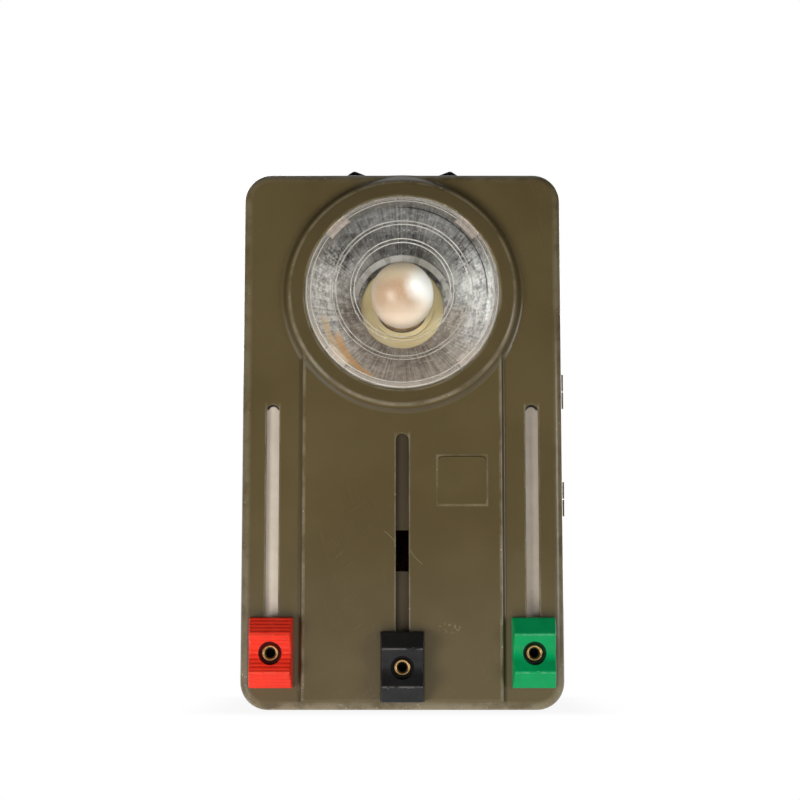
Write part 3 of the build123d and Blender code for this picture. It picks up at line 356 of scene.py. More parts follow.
def olive_enamel(name, edges, hollows, marks):
    """Olive enamel with hair scratches, rubbed edges that on the front shell are partly painted highlights,
    small chips and painted shade in the hollows.
    """
    finish = Finish(name)
    edge = edges(finish)
    painted_shade = hollows(finish)
    patch = finish.cloud(30, 3.0)
    mottle = finish.cloud(5, 4.0, 0.6)
    peel = finish.cloud(0.9, 2.0)
    base = finish.mix(finish.band(patch, 0.35, 0.65), tone(84, 71, 42), tone(92, 79, 49))
    base = finish.mix(finish.band(mottle, 0.55, 0.8) * 0.25, base, tone(98, 86, 58))
    rub = edge * finish.band(finish.cloud(6, 4.0, 0.65), 0.32, 0.62)
    hair = finish.scratches(9, 0.10, 0.3, 3.0).most(finish.scratches(7, 0.09, -0.9, 8.0))
    hair = hair * finish.band(finish.cloud(22, 2.0, shift=5.0), 0.52, 0.62) * 0.5
    hair = hair.most(marks(finish))
    chip = finish.band(finish.cloud(1.0, 4.0, 0.7) + 0.10 * edge, 0.75, 0.77)
    # Painted shade: the hollows darkened towards a dark brown.
    base = finish.mix(painted_shade * (0.3 + 0.3 * mottle), base, tone(46, 38, 22))
    # Rubbed edges: lightened partly as rubbing and, on the front shell, partly as painted highlight.
    base = finish.mix(rub * 0.5, base, tone(142, 131, 106))
    base = finish.mix(hair * 0.5, base, tone(140, 130, 104))
    base = finish.mix(chip * 0.8, base, tone(176, 168, 150))
    rough = 0.30 + 0.10 * patch + 0.08 * mottle
    height = 0.35 * peel + 0.5 * mottle - 0.8 * chip - 0.3 * hair
    return finish.surface(
        base, rough, height, 0.03, Specular_IOR_Level=0.18, Coat_Weight=0.42, Coat_Roughness=0.13)


def rolled_tin(finish, light, dark, spots):
    """Surface of tin plate with rolling marks, a little bloom and dull spots."""
    grain = finish.cloud(0.5, 2.0, stretch=(1, 1, 30))
    bloom = finish.cloud(7, 4.0, 0.6)
    base = finish.mix(finish.band(bloom, 0.3, 0.7), light, dark)
    base = finish.mix(spots * 0.3, base, tone(120, 108, 92))
    return base, 0.36 + 0.16 * bloom + 0.1 * grain, grain + 0.5 * bloom, 0.012


def tin_plate():
    finish = Finish("tin_plate")
    spots = finish.band(finish.cloud(1.3, 3.0, 0.6, shift=2.0), 0.62, 0.75)
    return finish.surface(*rolled_tin(finish, tone(205, 200, 190), tone(182, 174, 162), spots), Metallic=0.65)


def carrier_plate(name, x):
    """Tin plate of a filter carrier, dull where it shows in its slot, with a painted shadow at the slot's
    end.
    """
    finish = Finish(name)
    spots = finish.band(finish.cloud(1.1, 3.0, 0.6, shift=2.0), 0.64, 0.76)
    base, *sheet = rolled_tin(finish, tone(220, 207, 190), tone(208, 194, 176), spots)
    slot_end = 64.6
    # Painted shadow: dark at the end of the slot, where the strip meets the slot's rounded end.
    off = ((finish.x - x) ** 2 + (finish.z - slot_end).most(0.0) ** 2) ** 0.5
    painted_shade = finish.band(off, 0.85, 1.15) * finish.band(finish.z, slot_end, slot_end + 0.6)
    return finish.surface(finish.mix(painted_shade, base, tone(22, 18, 12)), *sheet, Metallic=0.3 - 0.3 * painted_shade)


def bright_steel():
    finish = Finish("bright_steel")
    grain = finish.cloud(0.25, 2.0, stretch=(1, 20, 1))
    tarnish = finish.cloud(2.5, 4.0, 0.6)
    base = finish.mix(finish.band(tarnish, 0.45, 0.75), tone(198, 196, 190), tone(150, 143, 132))
    return finish.surface(base, 0.24 + 0.2 * tarnish, grain, 0.006, Metallic=1.0)


def worn_shutter_paint():
    """Dark brown olive paint with rub marks along the way it slides."""
    finish = Finish("worn_shutter_paint")
    rub = finish.cloud(0.7, 4.0, 0.6, stretch=(1, 1, 25))
    patch = finish.cloud(12, 3.0)
    base = finish.mix(finish.band(patch, 0.3, 0.7), tone(56, 46, 29), tone(63, 52, 33))
    base = finish.mix(finish.band(rub, 0.58, 0.78) * 0.4, base, tone(88, 74, 52))
    return finish.surface(base, 0.45 + 0.2 * rub, rub, 0.015, Specular_IOR_Level=0.3)


def clear_lens():
    """Clear moulded plastic with fine polishing marks, painted highlights on the ridges, a frosted rim
    painted darker at the top as shade, a painted shadow arc, and four lugs painted pale with a painted
    highlight on the upper two.
    """
    finish = Finish("clear_lens")
    haze = finish.cloud(4, 3.0, 0.6)
    marks = finish.scratches(5, 0.08, 0.7, 1.0).most(finish.scratches(4, 0.08, -0.5, 6.0))
    rough = 0.015 + 0.03 * finish.band(haze, 0.55, 0.8) + 0.12 * marks
    clear = finish.shader(
        Base_Color=(0.975, 0.98, 0.97, 1.0), Roughness=rough, IOR=1.49, Transmission_Weight=1.0,
        Normal=finish.bump(haze, 0.004))
    away = from_lens_axis(finish)
    rise = finish.z - LENS_HEIGHT
    up = rise / away
    front = finish.band(finish.y - FACE, -2.4, -2.8)
    glint = finish.cloud(2.2, 3.0, 0.6)
    streak = finish.cloud(0.8, 3.0, 0.6)
    # Frosted rim, painted darker towards the top as shade and lighter at the bottom, and reaching further in
    # at the top.
    grey = finish.mix(finish.band(up, -0.5, 0.3), tone(140, 130, 116), tone(84, 78, 66))
    frosting = finish.shader(Base_Color=finish.mix(streak * 0.5, grey, tone(190, 182, 172)), Roughness=0.4)
    rim = finish.band(away, 20.05, 20.35).most(finish.band(away, 18.6, 18.8) * finish.band(up, 0.15, 0.5))
    seen = finish.between(rim * front * (0.4 + 0.35 * streak), clear, frosting)
    # Painted shadow: a dark thin arc inside the rim at the upper right.
    painted_shadow_arc = finish.band(abs(away - 18.45), 0.22, 0.1)
    painted_shadow_arc = painted_shadow_arc * finish.band(finish.x, -4.0, 1.0) * finish.band(rise, -3.0, 1.0)
    dark = finish.mix(glint, tone(18, 16, 14), tone(44, 40, 34))
    shade = finish.shader(Base_Color=dark, Roughness=0.5)
    seen = finish.between(painted_shadow_arc * front * 0.8, seen, shade)
    off = abs(abs(finish.x) - abs(rise))
    lug = finish.band(off, 4.0, 3.7) * finish.band(away, 18.9, 19.2)
    # The lugs are tinted pale pink, more on the upper two as painted highlight.
    lug_tint = 0.05 + 0.45 * streak + 0.5 * finish.band(up, 0.0, 0.4)
    warm = finish.mix(streak, tone(156, 132, 114), tone(250, 236, 222))
    claw = finish.shader(Base_Color=warm, Roughness=0.3)
    seen = finish.between(lug * front * lug_tint, seen, claw)
    # Painted highlights: pale lines along the ridges and the edges of the rim.
    ridge = finish.band(abs(away - LENS_RIDGES[0]), 0.15, 0.05)
    for radius in LENS_RIDGES[1:]:
        ridge = ridge.most(finish.band(abs(away - radius), 0.15, 0.05))
    bright = finish.mix(glint, tone(180, 176, 164), tone(238, 234, 224))
    edge = finish.shader(Base_Color=bright, Roughness=0.25)
    return finish.close(finish.between(ridge * front * (0.45 + 0.4 * glint), seen, edge))


def silvered_bowl():
    """Silvered reflector whose colour holds painted reflections: dark at the top, light and sparkling at the
    sides, pale facets round the neck above the bulb, fine rays and dents, browner low down and near the neck,
    and a pale and an amber streak at the lower left.
    """
    finish = Finish("silvered_bowl")
    away = from_lens_axis(finish)
    rise = finish.z - LENS_HEIGHT
    up = rise / away
    turn = rise.turn(finish.x)
    side = finish.band(abs(up), 0.8, 0.35)
    painted_dark_top = finish.band(up, 0.2, 0.7)
    low = finish.band(up, -0.4, -0.85)
    rays = finish.rays(260) - 0.5
    dents = finish.cloud(1.5, 4.0, 0.68)
    painted_glints = finish.band(finish.cloud(0.6, 2.0, 0.6, shift=4.0), 0.58, 0.68)
    blotch = finish.band(dents, 0.30, 0.70) - 0.5
    inner = finish.band(away, 14.0, 11.5) * finish.band(up, 0.15, -0.25)
    # Painted reflections: the share of white is lowered at the top and round the lower neck, and raised at
    # the sides by blotches, rays and glints.
    share = 0.62 - 0.51 * painted_dark_top - 0.03 * low - 0.3 * inner
    share = share + (0.15 + 0.5 * side + 0.35 * low) * blotch
    share = share + (0.45 + 0.5 * side + 1.3 * low) * rays
    share = share + (0.16 + 0.35 * side + 0.2 * low) * painted_glints
    # Painted reflection: pale facets on a collar round the neck above the bulb, and a pale band beside it.
    facets = finish.tiles(turn * (52 / math.tau))
    collar = finish.band(away, 8.6, 8.9) * finish.band(away, 10.1, 9.8) * finish.band(up, 0.1, 0.4)
    behind = finish.band(away, 10.0, 10.4) * finish.band(away, 14.5, 11.0)
    behind = behind * finish.band(abs(up - 0.62), 0.35, 0.1)
    share = share + collar * (0.4 + 0.75 * facets) + 0.35 * behind
    base = finish.mix(share.least(1.0).most(0.0), tone(52, 50, 48), tone(250, 250, 248))
    base = finish.mix(low.most(inner) * 0.35, base, tone(176, 150, 118))
    pale = finish.band(abs(away - 17.0 - 1.4 * (turn + 2.2)), 1.1, 0.5)
    pale = pale * finish.band(abs(turn + 2.58), 0.44, 0.25)
    base = finish.mix(pale * finish.band(rays, -0.4, 0.0) * 0.8, base, tone(250, 222, 176))
    amber = finish.band(abs(away - 16.7 - 3.4 * (turn + 2.0)), 1.15, 0.6)
    amber = amber * finish.band(abs(turn + 2.3), 0.48, 0.3)
    base = finish.mix(amber * finish.band(rays, -0.5, -0.1) * 0.8, base, tone(246, 192, 116))
    return finish.surface(
        base, 0.22 + 0.2 * dents, 0.3 * rays + dents, 0.14,
        Metallic=0.4, Coat_Weight=0.6, Coat_Roughness=0.08)


def cream_moulding():
    finish = Finish("cream_moulding")
    age = finish.cloud(5, 4.0, 0.6)
    speck = finish.band(finish.cloud(0.5, 2.0), 0.68, 0.78)
    base = finish.mix(finish.band(age, 0.3, 0.7), tone(255, 240, 186), tone(252, 228, 166))
    base = finish.mix(speck * 0.3, base, tone(190, 160, 104))
    return finish.surface(
        base, 0.38 + 0.12 * age, finish.cloud(0.8, 2.0), 0.01, Coat_Weight=0.2, Coat_Roughness=0.2)


def eyelet_metal(name, level):
    """Brass of an eyelet, bright on its rim, with painted shade that turns it black down its bore."""
    finish = Finish(name)
    tarnish = finish.cloud(0.9, 4.0, 0.65)
    base = finish.mix(finish.band(tarnish, 0.4, 0.7), tone(200, 164, 108), tone(146, 112, 68))
    # Painted shade: black down the bore.
    bore = finish.band(finish.y - FACE, level - 2.05, level - 1.75)
    base = finish.mix(bore, base, tone(8, 6, 5))
    return finish.surface(base, 0.22 + 0.2 * tarnish + 0.4 * bore, tarnish, 0.01, Metallic=1 - bore)


def dull_brass():
    finish = Finish("dull_brass")
    tarnish = finish.cloud(1.4, 4.0, 0.65)
    fine = finish.cloud(0.15, 2.0)
    base = finish.mix(finish.band(tarnish, 0.4, 0.7), tone(214, 178, 112), tone(168, 130, 76))
    return finish.surface(base, 0.22 + 0.22 * tarnish, fine, 0.004, Metallic=1.0)


def frosted_bulb():
    """Glass frosted on the inside, brown in the middle, lighter towards its edge, top and bottom, with a
    painted highlight at the upper right.
    """
    finish = Finish("frosted_bulb")
    frost = finish.cloud(0.35, 3.0, 0.6)
    shade = finish.cloud(5, 3.0)
    off = from_point(finish, -1.2, 91.6)
    brown = finish.band(off + 2.5 * (shade - 0.5), 0.5, 5.0)
    base = finish.mix(brown, tone(162, 128, 94), tone(178, 152, 124))
    base = finish.mix(finish.band(off, 3.8, 6.6), base, tone(236, 220, 198))
    base = finish.mix(finish.band(finish.z, 92.5, 96.5) * 0.7, base, tone(224, 206, 172))
    base = finish.mix(finish.band(finish.z, 90.0, 86.0) * 0.6, base, tone(224, 202, 180))
    grain = finish.band(frost, 0.45, 0.75) * (0.25 + 0.35 * finish.band(finish.z, 91.0, 96.0))
    base = finish.mix(grain, base, tone(212, 196, 172))
    # Painted highlight: a soft near-white patch at the upper right.
    from_painted_highlight = from_point(finish, 4.8, 93.2)
    base = finish.mix(finish.band(from_painted_highlight + 2.0 * shade, 6.2, 2.2), base, tone(255, 252, 246))
    return finish.surface(
        base, 0.36 + 0.1 * frost, frost, 0.004,
        Subsurface_Weight=0.15, Subsurface_Scale=0.001, Coat_Weight=0.6, Coat_Roughness=0.26)


def clear_stem():
    finish = Finish("clear_stem")
    cords = finish.cloud(0.8, 3.0)
    return finish.surface(
        (0.93, 0.95, 0.94, 1.0), 0.04 + 0.06 * cords, cords, 0.01, IOR=1.5, Transmission_Weight=1.0)


def moulded_plastic(name, body, shade, worn_and_highlight, wear_and_highlight, gloss, place):
    """Moulded plastic of a knob with flow marks and rubbed spots, painted highlights along its ridges, and
    painted shade in the bored seat.
    """
    finish = Finish(name)
    x, z, level = place
    depth = finish.y - FACE
    flow = finish.cloud(4, 3.0)
    grain = finish.cloud(0.22, 2.0)
    proud = finish.band(depth, level - 4.5, level - 4.9)
    off_ridge = abs(abs(finish.z - z) - KNOB_RIDGE)
    ridge = finish.band(off_ridge, 0.55, 0.15) * proud
    # Painted highlights: light lines along the two ridges, and more rubbed spots near them.
    line = finish.band(off_ridge, 0.28, 0.08) * proud
    line = line * finish.band(finish.cloud(1.6, 3.0, shift=3.0), 0.3, 0.6)
    rub = finish.band(finish.cloud(0.9, 5.0, 0.7) + 0.09 * ridge, 0.66, 0.74)
    base = finish.mix(finish.band(flow, 0.3, 0.7), body, shade)
    base = finish.mix((rub + line).least(1.0) * wear_and_highlight, base, worn_and_highlight)
    # Painted shade: the bored seat darkened to near black.
    seat = finish.band(from_point(finish, x, z), 2.62, 2.45) * finish.band(depth, level - 2.95, level - 2.5)
    base = finish.mix(seat * 0.85, base, tone(14, 8, 6))
    return finish.surface(
        base, gloss + 0.10 * flow + 0.12 * rub, grain + 0.6 * rub, 0.012, Specular_IOR_Level=0.16)


def filter_sheet(name, colour):
    """Coloured clear sheet, slightly hazy."""
    finish = Finish(name)
    haze = finish.cloud(8, 3.0)
    return finish.surface(colour, 0.05 + 0.05 * haze, haze, 0.006, IOR=1.12, Transmission_Weight=1.0)


def matt_rubber():
    finish = Finish("matt_rubber")
    dust = finish.cloud(1.5, 4.0, 0.65)
    base = finish.mix(finish.band(dust, 0.5, 0.8), tone(24, 24, 24), tone(48, 46, 43))
    return finish.surface(base, 0.75 + 0.15 * dust, dust, 0.03)


def black_cap_glass():
    finish = Finish("black_cap_glass")
    flow = finish.cloud(1.2, 3.0)
    base = finish.mix(flow, tone(12, 12, 16), tone(34, 32, 38))
    return finish.surface(base, 0.12 + 0.15 * flow, flow, 0.03)


def soft_solder():
    finish = Finish("soft_solder")
    ripple = finish.cloud(0.6, 3.0, 0.6)
    base = finish.mix(finish.band(ripple, 0.4, 0.7), tone(190, 190, 186), tone(140, 138, 132))
    return finish.surface(base, 0.28 + 0.2 * ripple, ripple, 0.05, Metallic=1.0)


def brown_laminate():
    """Paper laminate board with a faint fibre and a machine sheen."""
    finish = Finish("brown_laminate")
    fibre = finish.cloud(0.8, 4.0, 0.6, stretch=(12, 1, 1))
    cloud = finish.cloud(9, 3.0)
    base = finish.mix(finish.band(fibre, 0.35, 0.7), tone(118, 76, 42), tone(92, 56, 30))
    base = finish.mix(cloud * 0.4, base, tone(134, 90, 52))
    return finish.surface(base, 0.35 + 0.2 * fibre, fibre, 0.012)


def battery_paper():
    """Plain blue paper jacket with a pale stripe near each end, creased and rubbed."""
    finish = Finish("battery_paper")
    fibre = finish.cloud(0.4, 4.0, 0.7, stretch=(3, 3, 1))
    cloud = finish.cloud(14, 3.0)
    crease = finish.band(finish.cells(16), 0.014, 0.0)
    crease = crease * finish.band(finish.cloud(9, 2.0, shift=6.0), 0.5, 0.62)
    base = finish.mix(finish.band(cloud, 0.3, 0.7), tone(58, 84, 120), tone(68, 95, 132))
    stripe = finish.band(abs(abs(finish.z - BATTERY_MIDDLE) - 25.0), 2.1, 1.9)
    base = finish.mix(stripe, base, tone(214, 204, 178))
    corner = finish.band(abs(finish.x), 29.6, 31.2) * finish.band(finish.cloud(1.2, 4.0, 0.65), 0.5, 0.65)
    base = finish.mix(corner.most(crease * 0.3) * 0.7, base, tone(196, 186, 166))
    base = finish.mix(finish.band(fibre, 0.55, 0.8) * 0.25, base, tone(150, 158, 166))
    return finish.surface(base, 0.6 + 0.2 * fibre, fibre - crease, 0.03)


def sealing_pitch():
    finish = Finish("sealing_pitch")
    pour = finish.cloud(4, 3.0, 0.5)
    base = finish.mix(pour, tone(20, 18, 17), tone(44, 38, 34))
    return finish.surface(base, 0.3 + 0.35 * pour, pour, 0.3)


def glazed_pressboard():
    finish = Finish("glazed_pressboard")
    fibre = finish.cloud(0.7, 5.0, 0.7, stretch=(1, 1, 6))
    flecks = finish.band(finish.cloud(1.1, 3.0, 0.6, stretch=(4, 1, 1), shift=3.0), 0.66, 0.74)
    base = finish.mix(finish.band(fibre, 0.3, 0.7), tone(168, 138, 98), tone(148, 118, 80))
    base = finish.mix(flecks * 0.5, base, tone(112, 84, 54))
    return finish.surface(base, 0.5 + 0.2 * fibre, fibre, 0.02)


def grey_felt():
    finish = Finish("grey_felt")
    hair = finish.cloud(0.35, 5.0, 0.75, stretch=(4, 1, 1))
    cross = finish.cloud(0.35, 5.0, 0.75, stretch=(1, 1, 4), shift=4.0)
    tuft = finish.cloud(2.5, 4.0, 0.6)
    base = finish.mix(hair.most(cross), tone(88, 86, 82), tone(158, 154, 146))
    base = finish.mix(tuft * 0.4, base, tone(118, 114, 108))
    return finish.surface(base, 0.95, hair + cross + tuft, 0.25, Sheen_Weight=0.4, Sheen_Roughness=0.5)


def strap_leather():
    """Brown strap leather: pebbled grain, a pressed line along the edge and darker burnished sides."""
    finish = Finish("strap_leather")
    pebble = finish.band(finish.cells(0.75), 0.0, 0.16)
    cloud = finish.cloud(8, 4.0, 0.6)
    pores = finish.band(finish.cloud(0.35, 2.0), 0.62, 0.72)
    across = abs(finish.x)
    edge = finish.band(across, 10.6, 11.9).most(finish.band(finish.z, 40.2, 38.6))
    line = finish.band(abs(across - 9.8), 0.4, 0.15) * finish.band(finish.z, 49.0, 51.0)
    base = finish.mix(finish.band(cloud, 0.3, 0.7), tone(122, 78, 44), tone(98, 60, 32))
    base = finish.mix((1 - pebble) * 0.55, base, tone(62, 36, 18))
    base = finish.mix(edge * 0.6, base, tone(64, 38, 20))
    base = finish.mix(line * 0.6, base, tone(58, 34, 18))
    height = pebble - 0.4 * pores - 1.6 * line + 0.5 * cloud
    return finish.surface(
        base, 0.46 + 0.16 * cloud - 0.1 * edge, height, 0.09, Coat_Weight=0.1, Coat_Roughness=0.35)


steel = bright_steel()
red_moulding = moulded_plastic(
    "red_moulding", tone(234, 56, 36), tone(226, 48, 30), tone(246, 130, 104), 0.2, 0.22, RED_KNOB)
green_moulding = moulded_plastic(
    "green_moulding", tone(2, 156, 88), tone(2, 146, 82), tone(150, 215, 180), 0.25, 0.16, GREEN_KNOB)
black_moulding = moulded_plastic(
    "black_moulding", tone(38, 37, 37), tone(31, 30, 30), tone(130, 128, 124), 0.45, 0.22, SHUTTER_KNOB)

node_finishes = {
    olive_enamel("olive_enamel_front", shell_edges, shell_hollows, panel_marks): ["front_shell"],
    olive_enamel("olive_enamel_rear", cover_edges, no_marks, no_marks): ["rear_cover"],
    olive_enamel("olive_enamel_hinge", leaf_edges, no_marks, no_marks): ["case_hinges", "cover_hinges"],
    tin_plate(): ["lip_frame", "filter_tray", "lens_retainer", "switch_rails"],
    carrier_plate("red_carrier_plate", -SIDE_SLOT): ["red_carrier"],
    carrier_plate("green_carrier_plate", SIDE_SLOT): ["green_carrier"],
    steel: ["hinge_pins", "board_posts", "board_screws", "bulb_filament"],
    worn_shutter_paint(): ["shutter_plate"],
    matt_rubber(): ["lens_gasket"],
    cream_moulding(): ["lamp_socket"],
    dull_brass(): [
        "socket_sleeve", "bulb_base", "bulb_leaf", "switch_leaf", "contact_rivets", "battery_plus_strip",
        "battery_minus_strip", "switch_carriage", "switch_stem", "tab_rivets",
    ],
    clear_stem(): ["bulb_stem"],
    black_cap_glass(): ["bulb_insulator"],
    soft_solder(): ["bulb_tip"],
    brown_laminate(): ["contact_board"],
    battery_paper(): ["battery_jacket"],
    sealing_pitch(): ["battery_seal"],
    black_moulding: ["switch_knob"],
    filter_sheet("red_filter_sheet", (0.85, 0.02, 0.015, 1.0)): ["red_filter"],
    filter_sheet("green_filter_sheet", (0.01, 0.55, 0.14, 1.0)): ["green_filter"],
    glazed_pressboard(): ["cover_lining"],
}
for finish, names in node_finishes.items():
    for name in names:
        cad[name].data.materials.clear()
        cad[name].data.materials.append(finish)


# Making and placing pieces

def placed(name, data):
    """Object in the scene with a mesh, a curve, a light or a camera."""
    made = bpy.data.objects.new(name, data)
    bpy.context.scene.collection.objects.link(made)
    return made


def evaluated_mesh(made):
    """Mesh of an object as its modifiers or its curve settings leave it."""
    bpy.context.view_layer.update()
    return bpy.data.meshes.new_from_object(made.evaluated_get(bpy.context.evaluated_depsgraph_get()))


def add_piece(name, mesh, finish, body, node):
    """Puts a mesh in the scene in place of a solid."""
    piece = placed(name, mesh)
    mesh.materials.clear()
    mesh.materials.append(finish)
    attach(piece, body)
    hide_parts(node)
    return piece


def finished_mesh(name, work, angle):
    """Turns the working mesh into a smooth one with creases at the sharp edges."""
    bmesh.ops.remove_doubles(work, verts=work.verts, dist=0.0005 * MM)
    bmesh.ops.recalc_face_normals(work, faces=work.faces)
    mesh = bpy.data.meshes.new(name)
    work.to_mesh(mesh)
    work.free()
    for face in mesh.polygons:
        face.use_smooth = True
    mesh.set_sharp_from_angle(angle=math.radians(angle))
    return mesh


def turned_mesh(name, outline, steps, x=0.0, z=LENS_HEIGHT, shift=None, angle=35):
    """Mesh turned about an axis along Y from a closed outline of (radius, depth) points."""
    work = bmesh.new()
    rings = []
    for step in range(steps):
        turn = 2 * math.pi * step / steps
        ring = []
        for index, (radius, depth) in enumerate(outline):
            if shift:
                radius, depth = shift(turn, index, radius, depth)
            spot = (x + radius * math.cos(turn), FACE + depth, z + radius * math.sin(turn))
            ring.append(work.verts.new(Vector(spot) * MM))
        rings.append(ring)
    for here, after in zip(rings, rings[1:] + rings[:1]):
        for index in range(len(outline)):
            following = (index + 1) % len(outline)
            on_axis = outline[index][0] == 0 and outline[following][0] == 0
            if not on_axis:
                work.faces.new((here[index], here[following], after[following], after[index]))
    return finished_mesh(name, work, angle)


def soft_corners(points, radii, steps):
    """Path with each corner replaced by a short curve."""
    path = []
    for index, (corner, radius) in enumerate(zip(points, radii)):
        here = Vector(corner)
        before = Vector(points[index - 1]) - here
        after = Vector(points[(index + 1) % len(points)]) - here
        if radius == 0:
            path.append(here)
            continue
        reach = min(radius, 0.45 * before.length, 0.45 * after.length)
        start = here + before.normalized() * reach
        end = here + after.normalized() * reach
        for step in range(steps + 1):
            share = step / steps
            path.append((1 - share) ** 2 * start + 2 * share * (1 - share) * here + share ** 2 * end)
    return path


def spaced(path, spacing):
    """Points along a path, a set distance apart."""
    points = [path[0]]
    left = spacing
    for start, end in zip(path, path[1:]):
        run = (end - start).length
        while left < run:
            points.append(start.lerp(end, left / run))
            left += spacing
        left -= run
    points.append(path[-1])
    return points


# Lens, reflector and bulb

def lens_piece():
    """Stepped lens: three curved zones, a bevelled rim with four lugs, and a flange under the shell."""
    curve = 60.0
    rim = LENS_RADIUS - 1.2
    step = 0.5
    edge = 0.12
    flange = LENS_RADIUS + 2.6
    shoulder = -1.0
    back = -0.35
    starts = (0.0, *[radius + edge for radius in LENS_RIDGES[:4]])
    ends = (*LENS_RIDGES[:4], rim)
    rises = (0.0, 0.4 * step, step, 1.4 * step, 2 * step)

    def sag(radius):
        return curve - math.sqrt(curve ** 2 - radius ** 2)

    apex = RING_LEVEL - 1.6 - sag(rim) + 2 * step
    outline = []
    for inner, outer, rise in zip(starts, ends, rises):
        for spot in range(9):
            radius = inner + (outer - inner) * spot / 8
            outline.append((radius, apex + sag(radius) - rise))
    first_rim = len(outline)
    outline += [
        (rim + 0.15, RING_LEVEL - 1.57), (LENS_RADIUS - 0.12, RING_LEVEL - 0.9),
        (LENS_RADIUS, RING_LEVEL - 0.7), (LENS_RADIUS, shoulder),
        (flange, shoulder), (flange, back), (0.0, back),
    ]

    def lug(turn, index, radius, depth):
        """Sets the rim back at the four lugs."""
        off = abs((math.degrees(turn) % 90) - 45)
        if off < 7.6 and first_rim <= index < first_rim + 2:
            return radius, depth + 0.45
        return radius, depth

    mesh = turned_mesh("lens", outline, 288, shift=lug, angle=12)
    piece = add_piece("stepped_lens", mesh, clear_lens(), "case", "lens")
    piece.visible_shadow = False


def reflector_piece():
    """Silvered bowl with fine flutes and a flat rim."""
    rim = 20.8
    neck = 8.0
    near = 3.8
    far = 15.95
    collar = 17.35
    sheet = 0.45
    flange = rim + 2.6
    flutes = 108
    flute_depth = 0.06
    focus = (rim ** 2 - neck ** 2) / (4 * (far - near))
    vertex = near + rim ** 2 / (4 * focus)
    inside = []
    outside = []
    steps = 26
    for step in range(steps + 1):
        radius = rim + (neck - rim) * step / steps
        depth = vertex - radius ** 2 / (4 * focus)
        lean = math.atan2(radius, 2 * focus)
        inside.append((radius, depth))
        outside.append((radius + sheet * math.sin(lean), depth + sheet * math.cos(lean)))
    outline = inside + [(neck, collar), (neck + sheet, collar)] + outside[::-1]
    outline += [(flange, near + 0.5), (flange, near + 0.05), (rim + 0.3, near + 0.05)]

    def flute(turn, index, radius, depth):
        if 1 < index < steps - 1:
            wave = 0.5 + 0.5 * math.cos(flutes * turn)
            return radius - flute_depth * wave * radius / rim, depth
        return radius, depth

    mesh = turned_mesh("reflector", outline, 6 * flutes, shift=flute, angle=60)
    add_piece("fluted_reflector", mesh, silvered_bowl(), "case", "reflector")


def bulb_piece():
    """Round bulb that leans up a little from its base."""
    lean = 0.2
    seat = 16.0
    front = 3.3
    ball = 6.33
    neck = 4.2
    wall = 0.5
    middle = front + ball
    end = 18.0
    outline = []
    last = math.pi - math.asin(neck / ball)
    for step in range(41):
        turn = last * step / 40
        outline.append((ball * math.sin(turn), middle - ball * math.cos(turn)))
    outline[0] = (0.0, front)
    outline += [(neck, end), (neck - wall, end)]
    for step in range(21):
        turn = last * (1 - step / 20)
        outline.append(((ball - wall) * math.sin(turn), middle - (ball - wall) * math.cos(turn)))
    outline[-1] = (0.0, front + wall)
    mesh = turned_mesh("bulb", outline, 96)
    for vertex in mesh.vertices:
        ahead = max(0.0, seat - (vertex.co.y / MM - FACE))
        vertex.co.z += lean * ahead * MM
    add_piece("frosted_glass_bulb", mesh, frosted_bulb(), "case", "bulb_glass")


# Knobs and eyelets

def knob_outline(under):
    """Side of a knob as (depth, height) points: a lip, a ridge, the valley, a ridge and a lip."""
    half = 7.5
    lip = under - 1.5
    crest = under - 4.8
    valley = under - 2.7
    corners = [
        (under, -half), (lip, -half), (crest, -KNOB_RIDGE), (valley, -1.0),
        (valley, 1.0), (crest, KNOB_RIDGE), (lip, half), (under, half),
    ]
    return spaced(soft_corners(corners, [0, 0.35, 0.6, 2.2, 2.2, 0.6, 0.35, 0], 6), 0.11)


def swept_knob(name, x, z, under, rib):
    """Body of a knob: tapered sides, soft side edges and, if asked for, fine ribs from side to side."""
    path = knob_outline(under)
    whole_way = 22.9
    plain_end = 1.6
    rib_pitch = 0.96
    foot_half = 4.75
    taper = math.tan(math.radians(4.0))
    round_edge = 0.4
    round_turns = (0, 20, 40, 65, 90)
    work = bmesh.new()
    rows = []
    way = 0.0
    for index, spot in enumerate(path):
        ahead = path[min(index + 1, len(path) - 1)] - path[max(index - 1, 0)]
        inward = Vector((ahead.y, -ahead.x)).normalized()
        if inward.x < 0 and abs(inward.y) < 0.99:
            inward = -inward
        if index:
            way += (spot - path[index - 1]).length
        groove = 0.0
        if rib and min(way, whole_way - way) > plain_end:
            groove = rib * (0.5 + 0.5 * math.cos(2 * math.pi * way / rib_pitch)) ** 2
        half = foot_half - (under - spot.x) * taper
        edge = min(1.0, (under - spot.x) / 0.8)
        row = []
        for side, turns in ((-1, round_turns[::-1]), (1, round_turns)):
            for degrees in turns:
                turn = math.radians(degrees)
                along = side * (half - round_edge + round_edge * math.sin(turn))
                sink = round_edge * (1 - math.cos(turn)) + groove * math.cos(turn) ** 0.5
                depth = spot.x + inward.x * sink * edge
                height = spot.y + inward.y * sink * edge
                row.append(work.verts.new(Vector((x + along, FACE + depth, z + height)) * MM))
        rows.append(row)
    for here, after in zip(rows, rows[1:] + rows[:1]):
        for column in range(len(here) - 1):
            work.faces.new((here[column], here[column + 1], after[column + 1], after[column]))
    work.faces.new([row[0] for row in rows])
    work.faces.new([row[-1] for row in reversed(rows)])
    return finished_mesh(name, work, 40)


